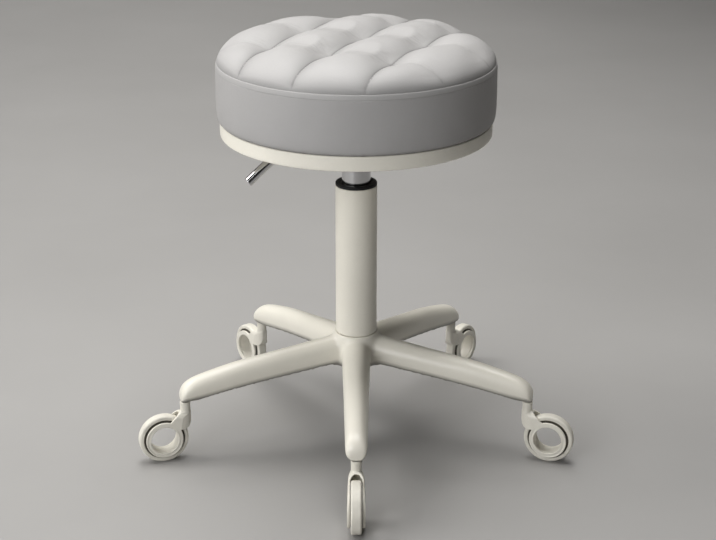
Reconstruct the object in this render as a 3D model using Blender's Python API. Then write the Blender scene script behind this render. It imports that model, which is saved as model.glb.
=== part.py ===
"""Height-adjustable rolling stool: quilted round seat on a gas spring, five-leg
star base, five casters with open ring-shaped hubs.

Metres, +Z up, floor at z = 0. The origin is the middle of the stool's
footprint on the floor. The column stands a little behind it, because one leg
points straight to the front (-Y) and the two rear legs reach less far back.
"""

from math import cos, pi, radians, sin

import bmesh
import bpy
from mathutils import Matrix, Vector

MM = 0.001

# ---- driving dimensions (millimetres, heights above the floor) ----
AXIS_Y = 24.5              # column axis behind the middle of the footprint
LEGS = 5
FIRST_LEG_DEG = -90.0      # one leg points to the front
GAP = 0.3                  # play left between neighbouring pieces

STEM_R = 217.3             # column axis to caster stem
TRAIL = 28.0               # caster stem to wheel centre
WHEEL_R = 30.0
TYRE_HALF = 6.1
TYRE_IN = 25.0
CORE_OUT = 24.7
CORE_IN = 20.1
CORE_HALF = 5.0
SLEEVE_OUT = 19.6
HUB_HOLE_R = 17.0
CHEEK_R = 22.7
CHEEK_IN = 6.8             # half width of the slot between the cheeks
CHEEK_OUT = 10.3           # half width of the fork
ARCH_R = 9.2               # outer radius of the arch over the wheel
NECK_R = 6.3
NECK_TOP = 74.6
CROWN_Z = 63.2             # top of the fork's arch
ARCH_Z = 61.0              # top of the slot under it
SLOT_BACK = 1.6            # the slot is closed behind this line
STEM_PIN_R = 3.0
TIP_Z = 75.0               # underside of the leg tips

HUB_R = 31.0
HUB_LOW = 98.0
HUB_TOP = 139.5
TUBE_R = 25.0
TUBE_IN = 22.9
TUBE_TOP = 327.0
SPIGOT_R = 22.6
BUSH_TOP = 331.0
BUSH_LOW = 255.0
CYL_R = 17.2
CYL_IN = 15.4
CYL_LOW = 128.0
CYL_TOP = 374.5
ROD_R = 5.0
PISTON_LOW = 252.0
PISTON_TOP = 266.0

PAN_R = 159.0
PAN_LOW = 392.5
PAN_TOP = 409.8
PAN_WALL = 3.5
BOARD_R = 154.8
BOARD_T = 12.0
CUSHION_R = 163.0
PIPING_R = 3.0
PIPING_MID_R = 161.0
PIPING_Z = 475.6
CROWN_TOP = 510.5

LEVER_DEG = 200.0
PIVOT_X = 28.0             # lever pivot from the column axis
PIVOT_Z = 383.0
LEVER_ROD_R = 5.0
PLATE_HALF = 65.0
PLATE_LOW = 389.2
PLATE_TOP = 392.2
SOCKET_LOW = 350.0
SOCKET_R = 22.0
BOLT_OFFSET = 50.0

ROUND = 24                 # sides of the column's turned pieces
SEAT_ROUND = 36
WHEEL_ROUND = 24

# one leg: distance from the axis, half width, underside, top
LEG_STATIONS = (
    (12.0, 18.4, 103.2, 137.8),
    (45.0, 17.2, 100.8, 132.4),
    (95.0, 15.6, 95.1, 125.0),
    (150.0, 14.2, 87.4, 117.2),
    (185.0, 13.3, 80.8, 109.6),
    (200.0, 12.9, 77.0, 105.6),
    (208.0, 12.8, 75.4, 102.6),
    (213.5, 12.5, TIP_Z, 99.4),
    (217.5, 12.0, TIP_Z, 96.0),
    (220.0, 11.0, TIP_Z, 92.4),
    (221.7, 9.6, 75.1, 88.8),
    (222.5, 7.9, 75.3, 85.6),
    (222.8, 5.6, 75.7, 82.6),
)
POCKETS = ((50.0, 92.0), (97.0, 140.0), (145.0, 190.0))

CREAM = (0.79, 0.755, 0.655)
LEATHER = (0.62, 0.60, 0.58)
BLACK = (0.012, 0.012, 0.013)
STEEL = (0.55, 0.55, 0.56)
CHROME = (0.78, 0.78, 0.79)


def clear_scene():
    for ob in list(bpy.data.objects):
        bpy.data.objects.remove(ob, do_unlink=True)


def material(name, colour, roughness, metallic):
    mat = bpy.data.materials.new(name)
    mat.use_nodes = True
    bsdf = mat.node_tree.nodes["Principled BSDF"]
    bsdf.inputs["Base Color"].default_value = (*colour, 1.0)
    bsdf.inputs["Roughness"].default_value = roughness
    bsdf.inputs["Metallic"].default_value = metallic
    mat.diffuse_color = (*colour, 1.0)
    return mat


def empty(name, parent=None, location=(0, 0, 0), turn_z=0.0):
    ob = bpy.data.objects.new(name, None)
    ob.empty_display_size = 0.03
    ob.location = Vector(location) * MM
    ob.rotation_euler = (0, 0, turn_z)
    ob.parent = parent
    bpy.context.scene.collection.objects.link(ob)
    return ob


def place(name, mesh, mat, parent, location=(0, 0, 0), turn_z=0.0):
    ob = bpy.data.objects.new(name, mesh)
    if not mesh.materials:
        mesh.materials.append(mat)
    ob.location = Vector(location) * MM
    ob.rotation_euler = (0, 0, turn_z)
    ob.parent = parent
    bpy.context.scene.collection.objects.link(ob)
    return ob


def finish_mesh(name, bm, sharp_deg=38.0):
    bmesh.ops.remove_doubles(bm, verts=bm.verts, dist=1e-7)
    bmesh.ops.recalc_face_normals(bm, faces=bm.faces)
    mesh = bpy.data.meshes.new(name)
    bm.to_mesh(mesh)
    bm.free()
    mesh.shade_smooth()
    mesh.set_sharp_from_angle(angle=radians(sharp_deg))
    return mesh


def turned(name, profile, sides=ROUND, phase=0.0, lie_along_y=False):
    """Turn a profile of (radius, height) points about Z. A profile that starts and ends on the axis is left open."""
    bm = bmesh.new()
    start = Matrix.Rotation(phase, 3, "Z")
    verts = [bm.verts.new(start @ Vector((r * MM, 0, z * MM))) for r, z in profile]
    pairs = list(zip(verts, verts[1:]))
    if profile[0][0] > 0:
        pairs.append((verts[-1], verts[0]))
    edges = [bm.edges.new(p) for p in pairs]
    bmesh.ops.spin(
        bm, geom=verts + edges, cent=(0, 0, 0), axis=(0, 0, 1),
        angle=2 * pi, steps=sides, use_merge=True,
    )
    if lie_along_y:
        bmesh.ops.rotate(bm, verts=bm.verts, matrix=Matrix.Rotation(pi / 2, 3, "X"))
    return finish_mesh(name, bm)


def ring_profile(inner, outer, low, high):
    return [(inner, low), (outer, low), (outer, high), (inner, high)]


def prism(name, outline, low, high, axis="Z"):
    """Extrude a closed outline. Axis Z: outline is (x, y); axis Y: (x, z); axis X: (y, z)."""
    bm = bmesh.new()
    put = {
        "Z": lambda a, b, h: (a, b, h),
        "Y": lambda a, b, h: (a, h, b),
        "X": lambda a, b, h: (h, a, b),
    }[axis]
    face = bm.faces.new([bm.verts.new(Vector(put(a, b, low)) * MM) for a, b in outline])
    moved = bmesh.ops.extrude_face_region(bm, geom=[face])
    top = [v for v in moved["geom"] if isinstance(v, bmesh.types.BMVert)]
    shift = Vector(put(0, 0, high - low)) * MM
    bmesh.ops.translate(bm, verts=top, vec=shift)
    return finish_mesh(name, bm)


def loft(name, sections):
    """Skin a row of equal-length closed sections and cap both ends."""
    bm = bmesh.new()
    rows = [[bm.verts.new(Vector(p) * MM) for p in section] for section in sections]
    n = len(rows[0])
    for a, b in zip(rows, rows[1:]):
        for i in range(n):
            j = (i + 1) % n
            bm.faces.new((a[i], a[j], b[j], b[i]))
    bm.faces.new(rows[0])
    bm.faces.new(list(reversed(rows[-1])))
    return finish_mesh(name, bm)


def circle(cx, cy, r, sides, start=0.0, end=2 * pi):
    whole = abs(end - start - 2 * pi) < 1e-9
    steps = sides if whole else sides + 1
    return [
        (cx + r * cos(start + (end - start) * i / sides),
         cy + r * sin(start + (end - start) * i / sides))
        for i in range(steps)
    ]


def rounded_box(half_x, half_y, r, steps=3):
    points = []
    for cx, cy, a in ((1, 1, 0), (-1, 1, 90), (-1, -1, 180), (1, -1, 270)):
        points += circle(cx * (half_x - r), cy * (half_y - r), r, steps,
                         radians(a), radians(a + 90))
    return points


def combined(name, base, steps, sharp_deg=38.0):
    """Join to, cut from or intersect with the base mesh, in order, and return the resulting mesh."""
    helpers = [bpy.data.objects.new(name + "_blank", base)]
    for i, (how, mesh) in enumerate(steps):
        helpers.append(bpy.data.objects.new(f"{name}_tool_{i}", mesh))
    for ob in helpers:
        ob.hide_render = True
        ob.display_type = "WIRE"
        bpy.context.scene.collection.objects.link(ob)
    for tool, (how, mesh) in zip(helpers[1:], steps):
        mod = helpers[0].modifiers.new(tool.name, "BOOLEAN")
        mod.operation = how
        mod.solver = "EXACT"
        mod.object = tool
    bpy.context.view_layer.update()
    graph = bpy.context.evaluated_depsgraph_get()
    made = bpy.data.meshes.new_from_object(helpers[0].evaluated_get(graph))
    for ob in helpers:
        bpy.data.objects.remove(ob, do_unlink=True)
    bm = bmesh.new()
    bm.from_mesh(made)
    bmesh.ops.remove_doubles(bm, verts=bm.verts, dist=2e-6)
    bmesh.ops.dissolve_degenerate(bm, edges=bm.edges, dist=2e-6)
    made.materials.clear()
    return finish_mesh(name, bm, sharp_deg)


def moved(mesh, location=(0, 0, 0), turn_z=0.0):
    mesh.transform(Matrix.Translation(Vector(location) * MM) @ Matrix.Rotation(turn_z, 4, "Z"))
    return mesh


# ---- star base ----

def at_station(r):
    for a, b in zip(LEG_STATIONS, LEG_STATIONS[1:]):
        if a[0] <= r <= b[0]:
            t = (r - a[0]) / (b[0] - a[0])
            return [x + (y - x) * t for x, y in zip(a, b)]
    raise ValueError(r)


def leg_section(r, half, low, high, sides=12):
    mid, rise = (low + high) / 2, (high - low) / 2
    points = []
    for i in range(sides):
        a = 2 * pi * (i + 0.5) / sides
        power = 2 / 2.5 if sin(a) > 0 else 2 / 4.5
        y = half * abs(cos(a)) ** power * (1 if cos(a) > 0 else -1)
        z = mid + rise * abs(sin(a)) ** power * (1 if sin(a) > 0 else -1)
        points.append((r, y, z))
    # the flat of the underside and the ridge of the top reach their full height
    low_found = min(p[2] for p in points)
    high_found = max(p[2] for p in points)
    return [
        (x, y, low + (z - low_found) * (high - low) / (high_found - low_found))
        for x, y, z in points
    ]


def pocket(r1, r2):
    rows = []
    for r in (r1, r2):
        _, half, low, high = at_station(r)
        w, top = half - 4.6, high - 6.6
        rows.append([(r, -w, 60.0), (r, w, 60.0), (r, w, top), (r, -w, top)])
    return rows


def star_base_mesh():
    hub = turned("hub", [
        (0, HUB_LOW), (HUB_R - 1, HUB_LOW), (HUB_R, HUB_LOW + 1), (HUB_R, 131.0),
        (HUB_R - 2.0, 136.5), (HUB_R - 4.0, HUB_TOP), (0, HUB_TOP),
    ], sides=30)
    steps = []
    for k in range(LEGS):
        turn = radians(FIRST_LEG_DEG + k * 360 / LEGS)
        leg = loft("leg", [leg_section(*s) for s in LEG_STATIONS])
        steps.append(("UNION", moved(leg, turn_z=turn)))
    for k in range(LEGS):
        turn = radians(FIRST_LEG_DEG + k * 360 / LEGS)
        for r1, r2 in POCKETS:
            steps.append(("DIFFERENCE", moved(loft("pocket", pocket(r1, r2)), turn_z=turn)))
        hole = turned("stem_hole", [(0, 66), (STEM_PIN_R + 1.4, 66), (STEM_PIN_R + 1.4, 86.4), (0, 86.4)], sides=12)
        steps.append(("DIFFERENCE", moved(
            hole, (STEM_R * cos(turn), STEM_R * sin(turn), 0), turn)))
    bore = turned("column_bore", [(0, 90), (TUBE_IN, 90), (TUBE_IN, 150), (0, 150)], sides=ROUND)
    steps.append(("DIFFERENCE", bore))
    return combined("star_base", hub, steps)


# ---- casters ----

def fork_mesh():
    """Fork in the caster's own frame: stem on Z at the origin, wheel trailing along +X."""
    ring_from, ring_to = radians(110), radians(149 - 360)
    outline = [(-NECK_R - 0.1, CROWN_Z), (NECK_R, CROWN_Z), (10.0, 60.3), (15.0, 56.2)]
    outline += circle(TRAIL, WHEEL_R, CHEEK_R, 18, ring_from, ring_to)
    outline += [(4.4, 40.6), (0.8, 41.0), (-2.6, 42.8), (-5.0, 46.0), (-6.2, 50.6), (-NECK_R - 0.1, 57.0)]
    side = prism("fork_side", outline, -CHEEK_OUT - 2, CHEEK_OUT + 2, "Y")
    front = [(CHEEK_OUT, -5), (CHEEK_OUT, 38)] + circle(0, CROWN_Z - ARCH_R, ARCH_R, 8, 0, pi) + [(-CHEEK_OUT, 38), (-CHEEK_OUT, -5)]
    # seen from above the fork is as narrow as its neck behind and flares towards the wheel
    flare = [(-6.6, 2.0), (-5.4, 4.2), (-2.5, 6.4), (2.0, 8.2), (7.0, 9.8), (11.0, CHEEK_OUT + 0.1), (70.0, CHEEK_OUT + 0.1)]
    flare += [(x, -y) for x, y in reversed(flare)]
    slot = [(CHEEK_IN, -9)] + circle(0, ARCH_Z - CHEEK_IN, CHEEK_IN, 6, 0, pi) + [(-CHEEK_IN, -9)]
    well = moved(turned("wheel_well", [
        (0, -CHEEK_IN), (WHEEL_R + 1, -CHEEK_IN), (WHEEL_R + 1, CHEEK_IN), (0, CHEEK_IN)],
        sides=WHEEL_ROUND, lie_along_y=True), (TRAIL, 0, WHEEL_R))
    neck = turned("neck", [(0, 57.6), (NECK_R, 57.6), (NECK_R, NECK_TOP), (0, NECK_TOP)], sides=12)
    hole = moved(turned("hub_hole", [(0, -20), (HUB_HOLE_R, -20), (HUB_HOLE_R, 20), (0, 20)],
                        sides=20, lie_along_y=True), (TRAIL, 0, WHEEL_R))
    bore = turned("stem_bore", [(0, 63.6), (STEM_PIN_R + GAP, 63.6), (STEM_PIN_R + GAP, 80), (0, 80)], sides=12)
    return combined("fork", side, [
        ("INTERSECT", prism("fork_front", front, -40, 90, "X")),
        ("INTERSECT", prism("fork_plan", flare, -10, 90, "Z")),
        ("UNION", neck),
        ("DIFFERENCE", prism("fork_slot", slot, SLOT_BACK, 95, "X")),
        ("DIFFERENCE", well),
        ("DIFFERENCE", hole),
        ("DIFFERENCE", bore),
    ])


def build_casters(base, mats):
    flat = WHEEL_R / cos(pi / WHEEL_ROUND)      # corner radius, so that flats stand on the floor
    half_step = pi / WHEEL_ROUND
    fork = fork_mesh()
    stem = turned("stem", [(0, 64.0), (STEM_PIN_R, 64.0), (STEM_PIN_R, 84.8), (STEM_PIN_R - 0.7, 85.5), (0, 85.5)], sides=12)
    socket = turned("socket", ring_profile(STEM_PIN_R + GAP, STEM_PIN_R + 1.1, TIP_Z + GAP, 86.0), sides=12)
    sleeve = turned("sleeve", ring_profile(HUB_HOLE_R, SLEEVE_OUT, -6.5, 6.5), sides=18, lie_along_y=True)
    core = turned("core", ring_profile(CORE_IN, CORE_OUT, -CORE_HALF, CORE_HALF),
                  sides=WHEEL_ROUND, phase=half_step, lie_along_y=True)
    tyre = turned("tyre", [
        (TYRE_IN, -TYRE_HALF), (flat - 1.5, -TYRE_HALF), (flat, -TYRE_HALF + 1.7),
        (flat, TYRE_HALF - 1.7), (flat - 1.5, TYRE_HALF), (TYRE_IN, TYRE_HALF),
    ], sides=WHEEL_ROUND, phase=half_step, lie_along_y=True)
    for k in range(LEGS):
        n = k + 1
        turn = radians(FIRST_LEG_DEG + k * 360 / LEGS)
        at = (STEM_R * cos(turn), STEM_R * sin(turn), 0)
        place(f"stem_socket_{n}", socket, mats["nylon"], base, at, turn)
        swivel = empty(f"caster_{n}_swivel", base, at, turn)
        place(f"caster_stem_{n}", stem, mats["steel"], swivel)
        place(f"caster_fork_{n}", fork, mats["cream_plastic"], swivel)
        axle = (TRAIL, 0, WHEEL_R)
        place(f"hub_sleeve_{n}", sleeve, mats["cream_plastic"], swivel, axle)
        spin = empty(f"caster_{n}_axle", swivel, axle)
        place(f"wheel_core_{n}", core, mats["dark_plastic"], spin)
        place(f"tyre_{n}", tyre, mats["tyre"], spin)


# ---- column and gas spring ----

def build_column(base, spindle, seat, mats):
    place("star_base", star_base_mesh(), mats["cream_nylon"], base)
    place("column_tube", turned("column_tube", [
        (5.6, 100), (22.1, 100), (SPIGOT_R, 100.6), (SPIGOT_R, HUB_TOP + GAP),
        (24.0, HUB_TOP + GAP), (TUBE_R, HUB_TOP + 1.5), (TUBE_R, TUBE_TOP), (TUBE_IN, TUBE_TOP),
        (TUBE_IN, 147), (20.8, 143), (20.8, 104), (5.6, 104),
    ]), mats["cream_paint"], base)
    place("guide_bush", turned("guide_bush", [
        (CYL_R + 0.3, BUSH_LOW), (SPIGOT_R, BUSH_LOW), (SPIGOT_R, TUBE_TOP + GAP),
        (TUBE_R, TUBE_TOP + GAP), (TUBE_R, BUSH_TOP - 0.8), (TUBE_R - 0.8, BUSH_TOP),
        (CYL_R + 0.3, BUSH_TOP),
    ]), mats["black_nylon"], base)
    place("lower_race", turned("lower_race", ring_profile(5.6, 13.0, 104.3, 105.8), 20), mats["steel"], base)
    place("ball_ring", turned("ball_ring", [
        (6.2, 107.8), (9.4, 106.1), (12.6, 107.8), (9.4, 109.5),
    ], 20), mats["brass"], base)

    place("upper_race", turned("upper_race", ring_profile(5.6, 13.0, 109.8, 111.3), 20), mats["steel"], spindle)
    place("piston_rod", turned("piston_rod", [
        (0, 94), (ROD_R, 94), (ROD_R, 97.7), (4.1, 97.7), (4.1, 100.0),
        (ROD_R, 100.0), (ROD_R, 111.6), (8.0, 111.6), (8.0, 114.0), (ROD_R, 114.0),
        (ROD_R, PISTON_TOP + GAP), (7.5, PISTON_TOP + GAP), (7.5, PISTON_TOP + 3), (0, PISTON_TOP + 3),
    ], 12), mats["steel"], spindle)
    clip_gap = radians(28)
    clip = circle(0, 0, 8.0, 16, clip_gap, 2 * pi - clip_gap)
    clip += circle(0, 0, 4.5, 16, 2 * pi - clip_gap, clip_gap)
    place("retaining_clip", prism("retaining_clip", clip, 98.0, 99.7), mats["steel"], spindle)
    place("bumper", turned("bumper", ring_profile(5.4, 12.5, 114.3, 117.3), 20), mats["rubber"], spindle)
    place("piston", turned("piston", ring_profile(5.4, CYL_IN - 0.4, PISTON_LOW, PISTON_TOP), 20), mats["dark_plastic"], spindle)

    place("gas_cylinder", turned("gas_cylinder", [
        (5.4, CYL_LOW), (CYL_R - 0.6, CYL_LOW), (CYL_R, CYL_LOW + 0.6), (CYL_R, 352.0),
        (CYL_R - 0.4, CYL_TOP - 0.5), (CYL_R - 0.9, CYL_TOP), (4.4, CYL_TOP), (4.4, CYL_TOP - 8.5),
        (CYL_IN, CYL_TOP - 8.5), (CYL_IN, CYL_LOW + 5), (5.4, CYL_LOW + 5),
    ]), mats["chrome"], seat)
    valve = empty("valve_axis", seat)
    place("valve_pin", turned("valve_pin", [
        (0, 360), (4.1, 360), (4.1, 379.4), (3.6, 379.9), (0, 379.9),
    ], 12), mats["steel"], valve)


# ---- lever and its mount ----

def lever_mesh():
    """Lever in its own frame: pivot at the origin along Y, handle along +X."""
    bend = [
        (-34.0, 0.0, 3.6, 2.2), (-31.5, 0.0, 5.0, 2.75), (4.0, 0.0, 5.5, 2.75),
        (12.0, -1.2, 5.6, 3.6), (20.0, -2.5, 5.9, 5.2), (28.0, -3.8, LEVER_ROD_R, LEVER_ROD_R),
        (58.0, -8.8, LEVER_ROD_R, LEVER_ROD_R), (68.0, -11.2, LEVER_ROD_R, LEVER_ROD_R),
        (76.0, -15.2, LEVER_ROD_R, LEVER_ROD_R), (82.0, -19.6, LEVER_ROD_R, LEVER_ROD_R),
        (104.6, -38.4, LEVER_ROD_R, LEVER_ROD_R), (105.4, -39.1, 4.7, 4.7), (105.8, -39.4, 4.0, 4.0),
    ]
    sections = []
    for i, (x, z, half, rise) in enumerate(bend):
        a, b = bend[max(i - 1, 0)], bend[min(i + 1, len(bend) - 1)]
        along = Vector((b[0] - a[0], 0, b[1] - a[1])).normalized()
        up = Vector((-along.z, 0, along.x))
        section = []
        for k in range(12):
            t = 2 * pi * (k + 0.5) / 12
            section.append(Vector((x, 0, z)) + Vector((0, half * cos(t), 0)) + up * (rise * sin(t)))
        sections.append(section)
    rod = loft("lever_rod", sections)
    hole = turned("pivot_hole", [(0, -12), (2.3, -12), (2.3, 12), (0, 12)], 10, lie_along_y=True)
    return combined("lever", rod, [("DIFFERENCE", hole)])


def seat_mount_mesh():
    """Mount in the lever's frame: lever along +X, heights above the floor."""
    plate = prism("plate", rounded_box(PLATE_HALF, PLATE_HALF, 12), PLATE_LOW, PLATE_TOP)
    tube = turned("socket_tube", [
        (0, SOCKET_LOW), (SOCKET_R - 1, SOCKET_LOW), (SOCKET_R, SOCKET_LOW + 1),
        (SOCKET_R, PLATE_LOW + 1), (0, PLATE_LOW + 1)])
    steps = [("UNION", tube)]
    for side in (-1, 1):
        ear = [(22.5, PLATE_LOW + 1), (33.5, PLATE_LOW + 1), (33.5, PIVOT_Z)]
        ear += circle(PIVOT_X, PIVOT_Z, 5.5, 6, 0, -pi)[1:]
        low, high = sorted((side * 6.9, side * 9.9))
        steps.append(("UNION", prism("ear", ear, low, high, "Y")))
    steps.append(("DIFFERENCE", turned("socket_bore", [
        (0, SOCKET_LOW - 5), (CYL_R + 0.3, SOCKET_LOW - 5), (CYL_R + 0.3, PLATE_LOW), (0, PLATE_LOW)])))
    slot = [(2, 375.5), (26, 375.5), (26, PLATE_LOW), (2, PLATE_LOW)]
    steps.append(("DIFFERENCE", prism("lever_slot", slot, -6.7, 6.7, "Y")))
    pin_hole = turned("pin_hole", [(0, -14), (2.3, -14), (2.3, 14), (0, 14)], 10, lie_along_y=True)
    steps.append(("DIFFERENCE", moved(pin_hole, (PIVOT_X, 0, PIVOT_Z))))
    for x in (-BOLT_OFFSET, BOLT_OFFSET):
        for y in (-BOLT_OFFSET, BOLT_OFFSET):
            hole = turned("bolt_hole", [(0, 380), (3.4, 380), (3.4, 400), (0, 400)], 12)
            steps.append(("DIFFERENCE", moved(hole, (x, y, 0))))
    return combined("seat_mount", plate, steps)


def drilled(name, blank, radius, low, high, turn):
    steps = []
    for x in (-BOLT_OFFSET, BOLT_OFFSET):
        for y in (-BOLT_OFFSET, BOLT_OFFSET):
            hole = turned("hole", [(0, low), (radius, low), (radius, high), (0, high)], 12)
            at = Matrix.Rotation(turn, 3, "Z") @ Vector((x, y, 0))
            steps.append(("DIFFERENCE", moved(hole, at)))
    return combined(name, blank, steps)


def crown(r):
    """Height of the cushion's top at a distance from its middle."""
    return PIPING_Z + 3.4 + (CROWN_TOP - PIPING_Z - 3.4) * (1 - (r / 160.0) ** 3.4)


def build_seat(seat, mats):
    turn = radians(LEVER_DEG)
    place("seat_mount", seat_mount_mesh(), mats["black_steel"], seat, turn_z=turn)
    pin = turned("lever_pin", [(0, -11.5), (1.6, -11.5), (2.0, -11.1), (2.0, 11.1), (1.6, 11.5), (0, 11.5)], 10, lie_along_y=True)
    pivot = (PIVOT_X * cos(turn), PIVOT_X * sin(turn), PIVOT_Z)
    place("lever_pin", pin, mats["steel"], seat, pivot, turn)
    lever_axis = empty("lever_axis", seat, pivot, turn)
    place("lever", lever_mesh(), mats["chrome"], lever_axis)

    bolt = turned("mount_bolt", [
        (0, 385.0), (4.4, 385.0), (5.6, 386.4), (5.6, PLATE_LOW - GAP), (3.0, PLATE_LOW - GAP), (3.0, 405), (0, 405)], 12)
    insert = turned("threaded_insert", ring_profile(3.4, 5.0, 397.0, 408.0), 12)
    n = 0
    for x in (-BOLT_OFFSET, BOLT_OFFSET):
        for y in (-BOLT_OFFSET, BOLT_OFFSET):
            n += 1
            at = Matrix.Rotation(turn, 3, "Z") @ Vector((x, y, 0))
            place(f"mount_bolt_{n}", bolt, mats["steel"], seat, at)
            place(f"threaded_insert_{n}", insert, mats["brass"], seat, at)

    floor_top = PAN_LOW + PAN_WALL
    # a shallow moulded groove runs round the steel mount, outside which the underside is a plain flat ring
    pan = turned("pan_blank", [
        (0, PAN_LOW), (95.5, PAN_LOW), (96.5, PAN_LOW + 1.2), (99, PAN_LOW + 1.2), (100, PAN_LOW),
        (PAN_R - 1.6, PAN_LOW), (PAN_R, PAN_LOW + 1.6), (PAN_R, PAN_TOP - 1.6),
        (PAN_R - 1.6, PAN_TOP), (PAN_R - PAN_WALL, PAN_TOP), (PAN_R - PAN_WALL, floor_top), (100, floor_top), (0, floor_top)], SEAT_ROUND)
    place("seat_pan", drilled("seat_pan", pan, 3.4, 380, 400, turn), mats["cream_plastic"], seat)
    board_low = floor_top + GAP
    board_top = board_low + BOARD_T
    board = turned("board_blank", [
        (0, board_low), (BOARD_R, board_low), (BOARD_R, board_top), (0, board_top)], SEAT_ROUND)
    place("seat_board", drilled("seat_board", board, 5.3, 390, 415, turn), mats["wood"], seat)

    skin = 2.4
    dome = [0, 80, 120, 145, 157.4]
    foam = [(0, board_top + GAP + 0.1), (154.8, board_top + GAP + 0.1), (158.4, 415.6),
            (160.1, 423), (160.2, 455), (158.6, 471.0)]
    foam += [(r - 0.6 if r else 0, crown(r) - skin - 0.5 - (1.2 if r > 150 else 0)) for r in reversed(dome)]
    place("seat_foam", turned("seat_foam", foam, SEAT_ROUND), mats["foam"], seat)
    cover = [(r, crown(r) - skin) for r in dome] + [(r, crown(r)) for r in reversed(dome)]
    place("top_cover", turned("top_cover", cover, SEAT_ROUND), mats["leather"], seat)
    band = [(158.4, 410.2), (161.6, 414.0), (CUSHION_R, 430.0), (162.7, 458.0), (161.2, 472.2),
            (159.2, 472.2), (160.7, 458.0), (160.9, 430.0), (159.4, 415.0), (157.2, 411.9)]
    place("side_band", turned("side_band", band, SEAT_ROUND), mats["leather"], seat)
    welt = circle(PIPING_MID_R, PIPING_Z, PIPING_R, 6)
    place("piping", turned("piping", welt, SEAT_ROUND), mats["leather"], seat)


def main():
    clear_scene()
    mats = {
        "cream_nylon": material("cream_nylon", CREAM, 0.34, 0.0),
        "cream_paint": material("cream_paint", CREAM, 0.28, 0.0),
        "cream_plastic": material("cream_plastic", CREAM, 0.36, 0.0),
        "tyre": material("tyre", (0.74, 0.71, 0.62), 0.45, 0.0),
        "dark_plastic": material("dark_plastic", (0.05, 0.05, 0.048), 0.5, 0.0),
        "black_nylon": material("black_nylon", BLACK, 0.42, 0.0),
        "nylon": material("nylon", (0.6, 0.58, 0.52), 0.5, 0.0),
        "steel": material("steel", STEEL, 0.35, 1.0),
        "black_steel": material("black_steel", (0.02, 0.02, 0.021), 0.45, 0.2),
        "brass": material("brass", (0.72, 0.52, 0.22), 0.35, 1.0),
        "chrome": material("chrome", CHROME, 0.08, 1.0),
        "rubber": material("rubber", (0.02, 0.02, 0.02), 0.8, 0.0),
        "wood": material("wood", (0.5, 0.36, 0.22), 0.7, 0.0),
        "foam": material("foam", (0.72, 0.66, 0.48), 0.95, 0.0),
        "leather": material("leather", LEATHER, 0.45, 0.0),
    }
    base = empty("column_axis", location=(0, AXIS_Y, 0))
    spindle = empty("swivel_axis", base)
    seat = empty("lift_axis", spindle)
    build_column(base, spindle, seat, mats)
    build_seat(seat, mats)
    build_casters(base, mats)


main()
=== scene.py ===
"""Looks of the rolling stool: a quilted leatherette seat on a gas spring, a
cream five-leg base and casters with open ring-shaped hubs.

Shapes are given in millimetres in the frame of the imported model, most of them
about the column axis, and scaled to metres when their mesh is made.
"""

from math import acos, atan2, cos, hypot, pi, radians, sin, tan

import bpy
import numpy as np
from mathutils import Matrix, Vector, geometry, noise


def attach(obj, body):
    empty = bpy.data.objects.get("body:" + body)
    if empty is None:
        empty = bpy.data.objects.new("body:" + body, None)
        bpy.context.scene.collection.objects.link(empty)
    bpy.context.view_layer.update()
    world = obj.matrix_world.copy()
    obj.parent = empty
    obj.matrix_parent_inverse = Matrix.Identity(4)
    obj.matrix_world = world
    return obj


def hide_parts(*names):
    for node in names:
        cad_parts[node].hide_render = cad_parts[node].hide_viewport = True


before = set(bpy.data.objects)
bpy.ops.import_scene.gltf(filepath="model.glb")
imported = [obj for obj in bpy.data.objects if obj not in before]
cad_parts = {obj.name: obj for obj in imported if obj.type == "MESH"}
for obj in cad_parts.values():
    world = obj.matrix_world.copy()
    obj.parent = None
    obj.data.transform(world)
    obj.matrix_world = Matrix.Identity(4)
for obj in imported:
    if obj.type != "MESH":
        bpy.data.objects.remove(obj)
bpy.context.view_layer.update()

MM = 0.001
AXIS = Vector((0.0, 24.5, 0.0))      # foot of the column axis
LEGS = 5
STEM_R = 217.3
TRAIL = 28.0
WHEEL_R = 30.0
LEVER_DEG = 200.0
PIVOT_X, PIVOT_Z = 28.0, 383.0


def leg_turn(k):
    return radians(-90.0 + k * 360.0 / LEGS)


# ---------------------------------------------------------------- mesh tools

def mesh_of(name, verts, faces):
    """A mesh from points in millimetres."""
    made = bpy.data.meshes.new(name)
    made.from_pydata((np.asarray(verts, float) * MM).tolist(), [], [list(map(int, f)) for f in faces])
    made.validate()
    made.update()
    made.shade_smooth()
    return made


def points_of(mesh):
    co = np.zeros(len(mesh.vertices) * 3)
    mesh.vertices.foreach_get("co", co)
    return co.reshape(-1, 3)


def set_points(mesh, co):
    mesh.vertices.foreach_set("co", np.asarray(co, np.float32).ravel())
    mesh.update()


def rounded(corners, steps=5):
    """A closed outline from (a, b, radius) corners, with each corner turned into an arc."""
    out, n = [], len(corners)
    for i, (x, y, radius) in enumerate(corners):
        p = Vector((x, y))
        if radius <= 0:
            out.append((x, y))
            continue
        a = Vector(corners[i - 1][:2]) - p
        b = Vector(corners[(i + 1) % n][:2]) - p
        half = acos(max(-1.0, min(1.0, a.normalized().dot(b.normalized())))) / 2
        cut = min(radius / tan(half), a.length * 0.49, b.length * 0.49)
        radius = cut * tan(half)
        mid = p + (a.normalized() + b.normalized()).normalized() * (radius / sin(half))
        v0, v1 = p + a.normalized() * cut - mid, p + b.normalized() * cut - mid
        start = atan2(v0.y, v0.x)
        sweep = (atan2(v1.y, v1.x) - start + pi) % (2 * pi) - pi
        for s in range(steps + 1):
            t = start + sweep * s / steps
            out.append((mid.x + radius * cos(t), mid.y + radius * sin(t)))
    return out


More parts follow.
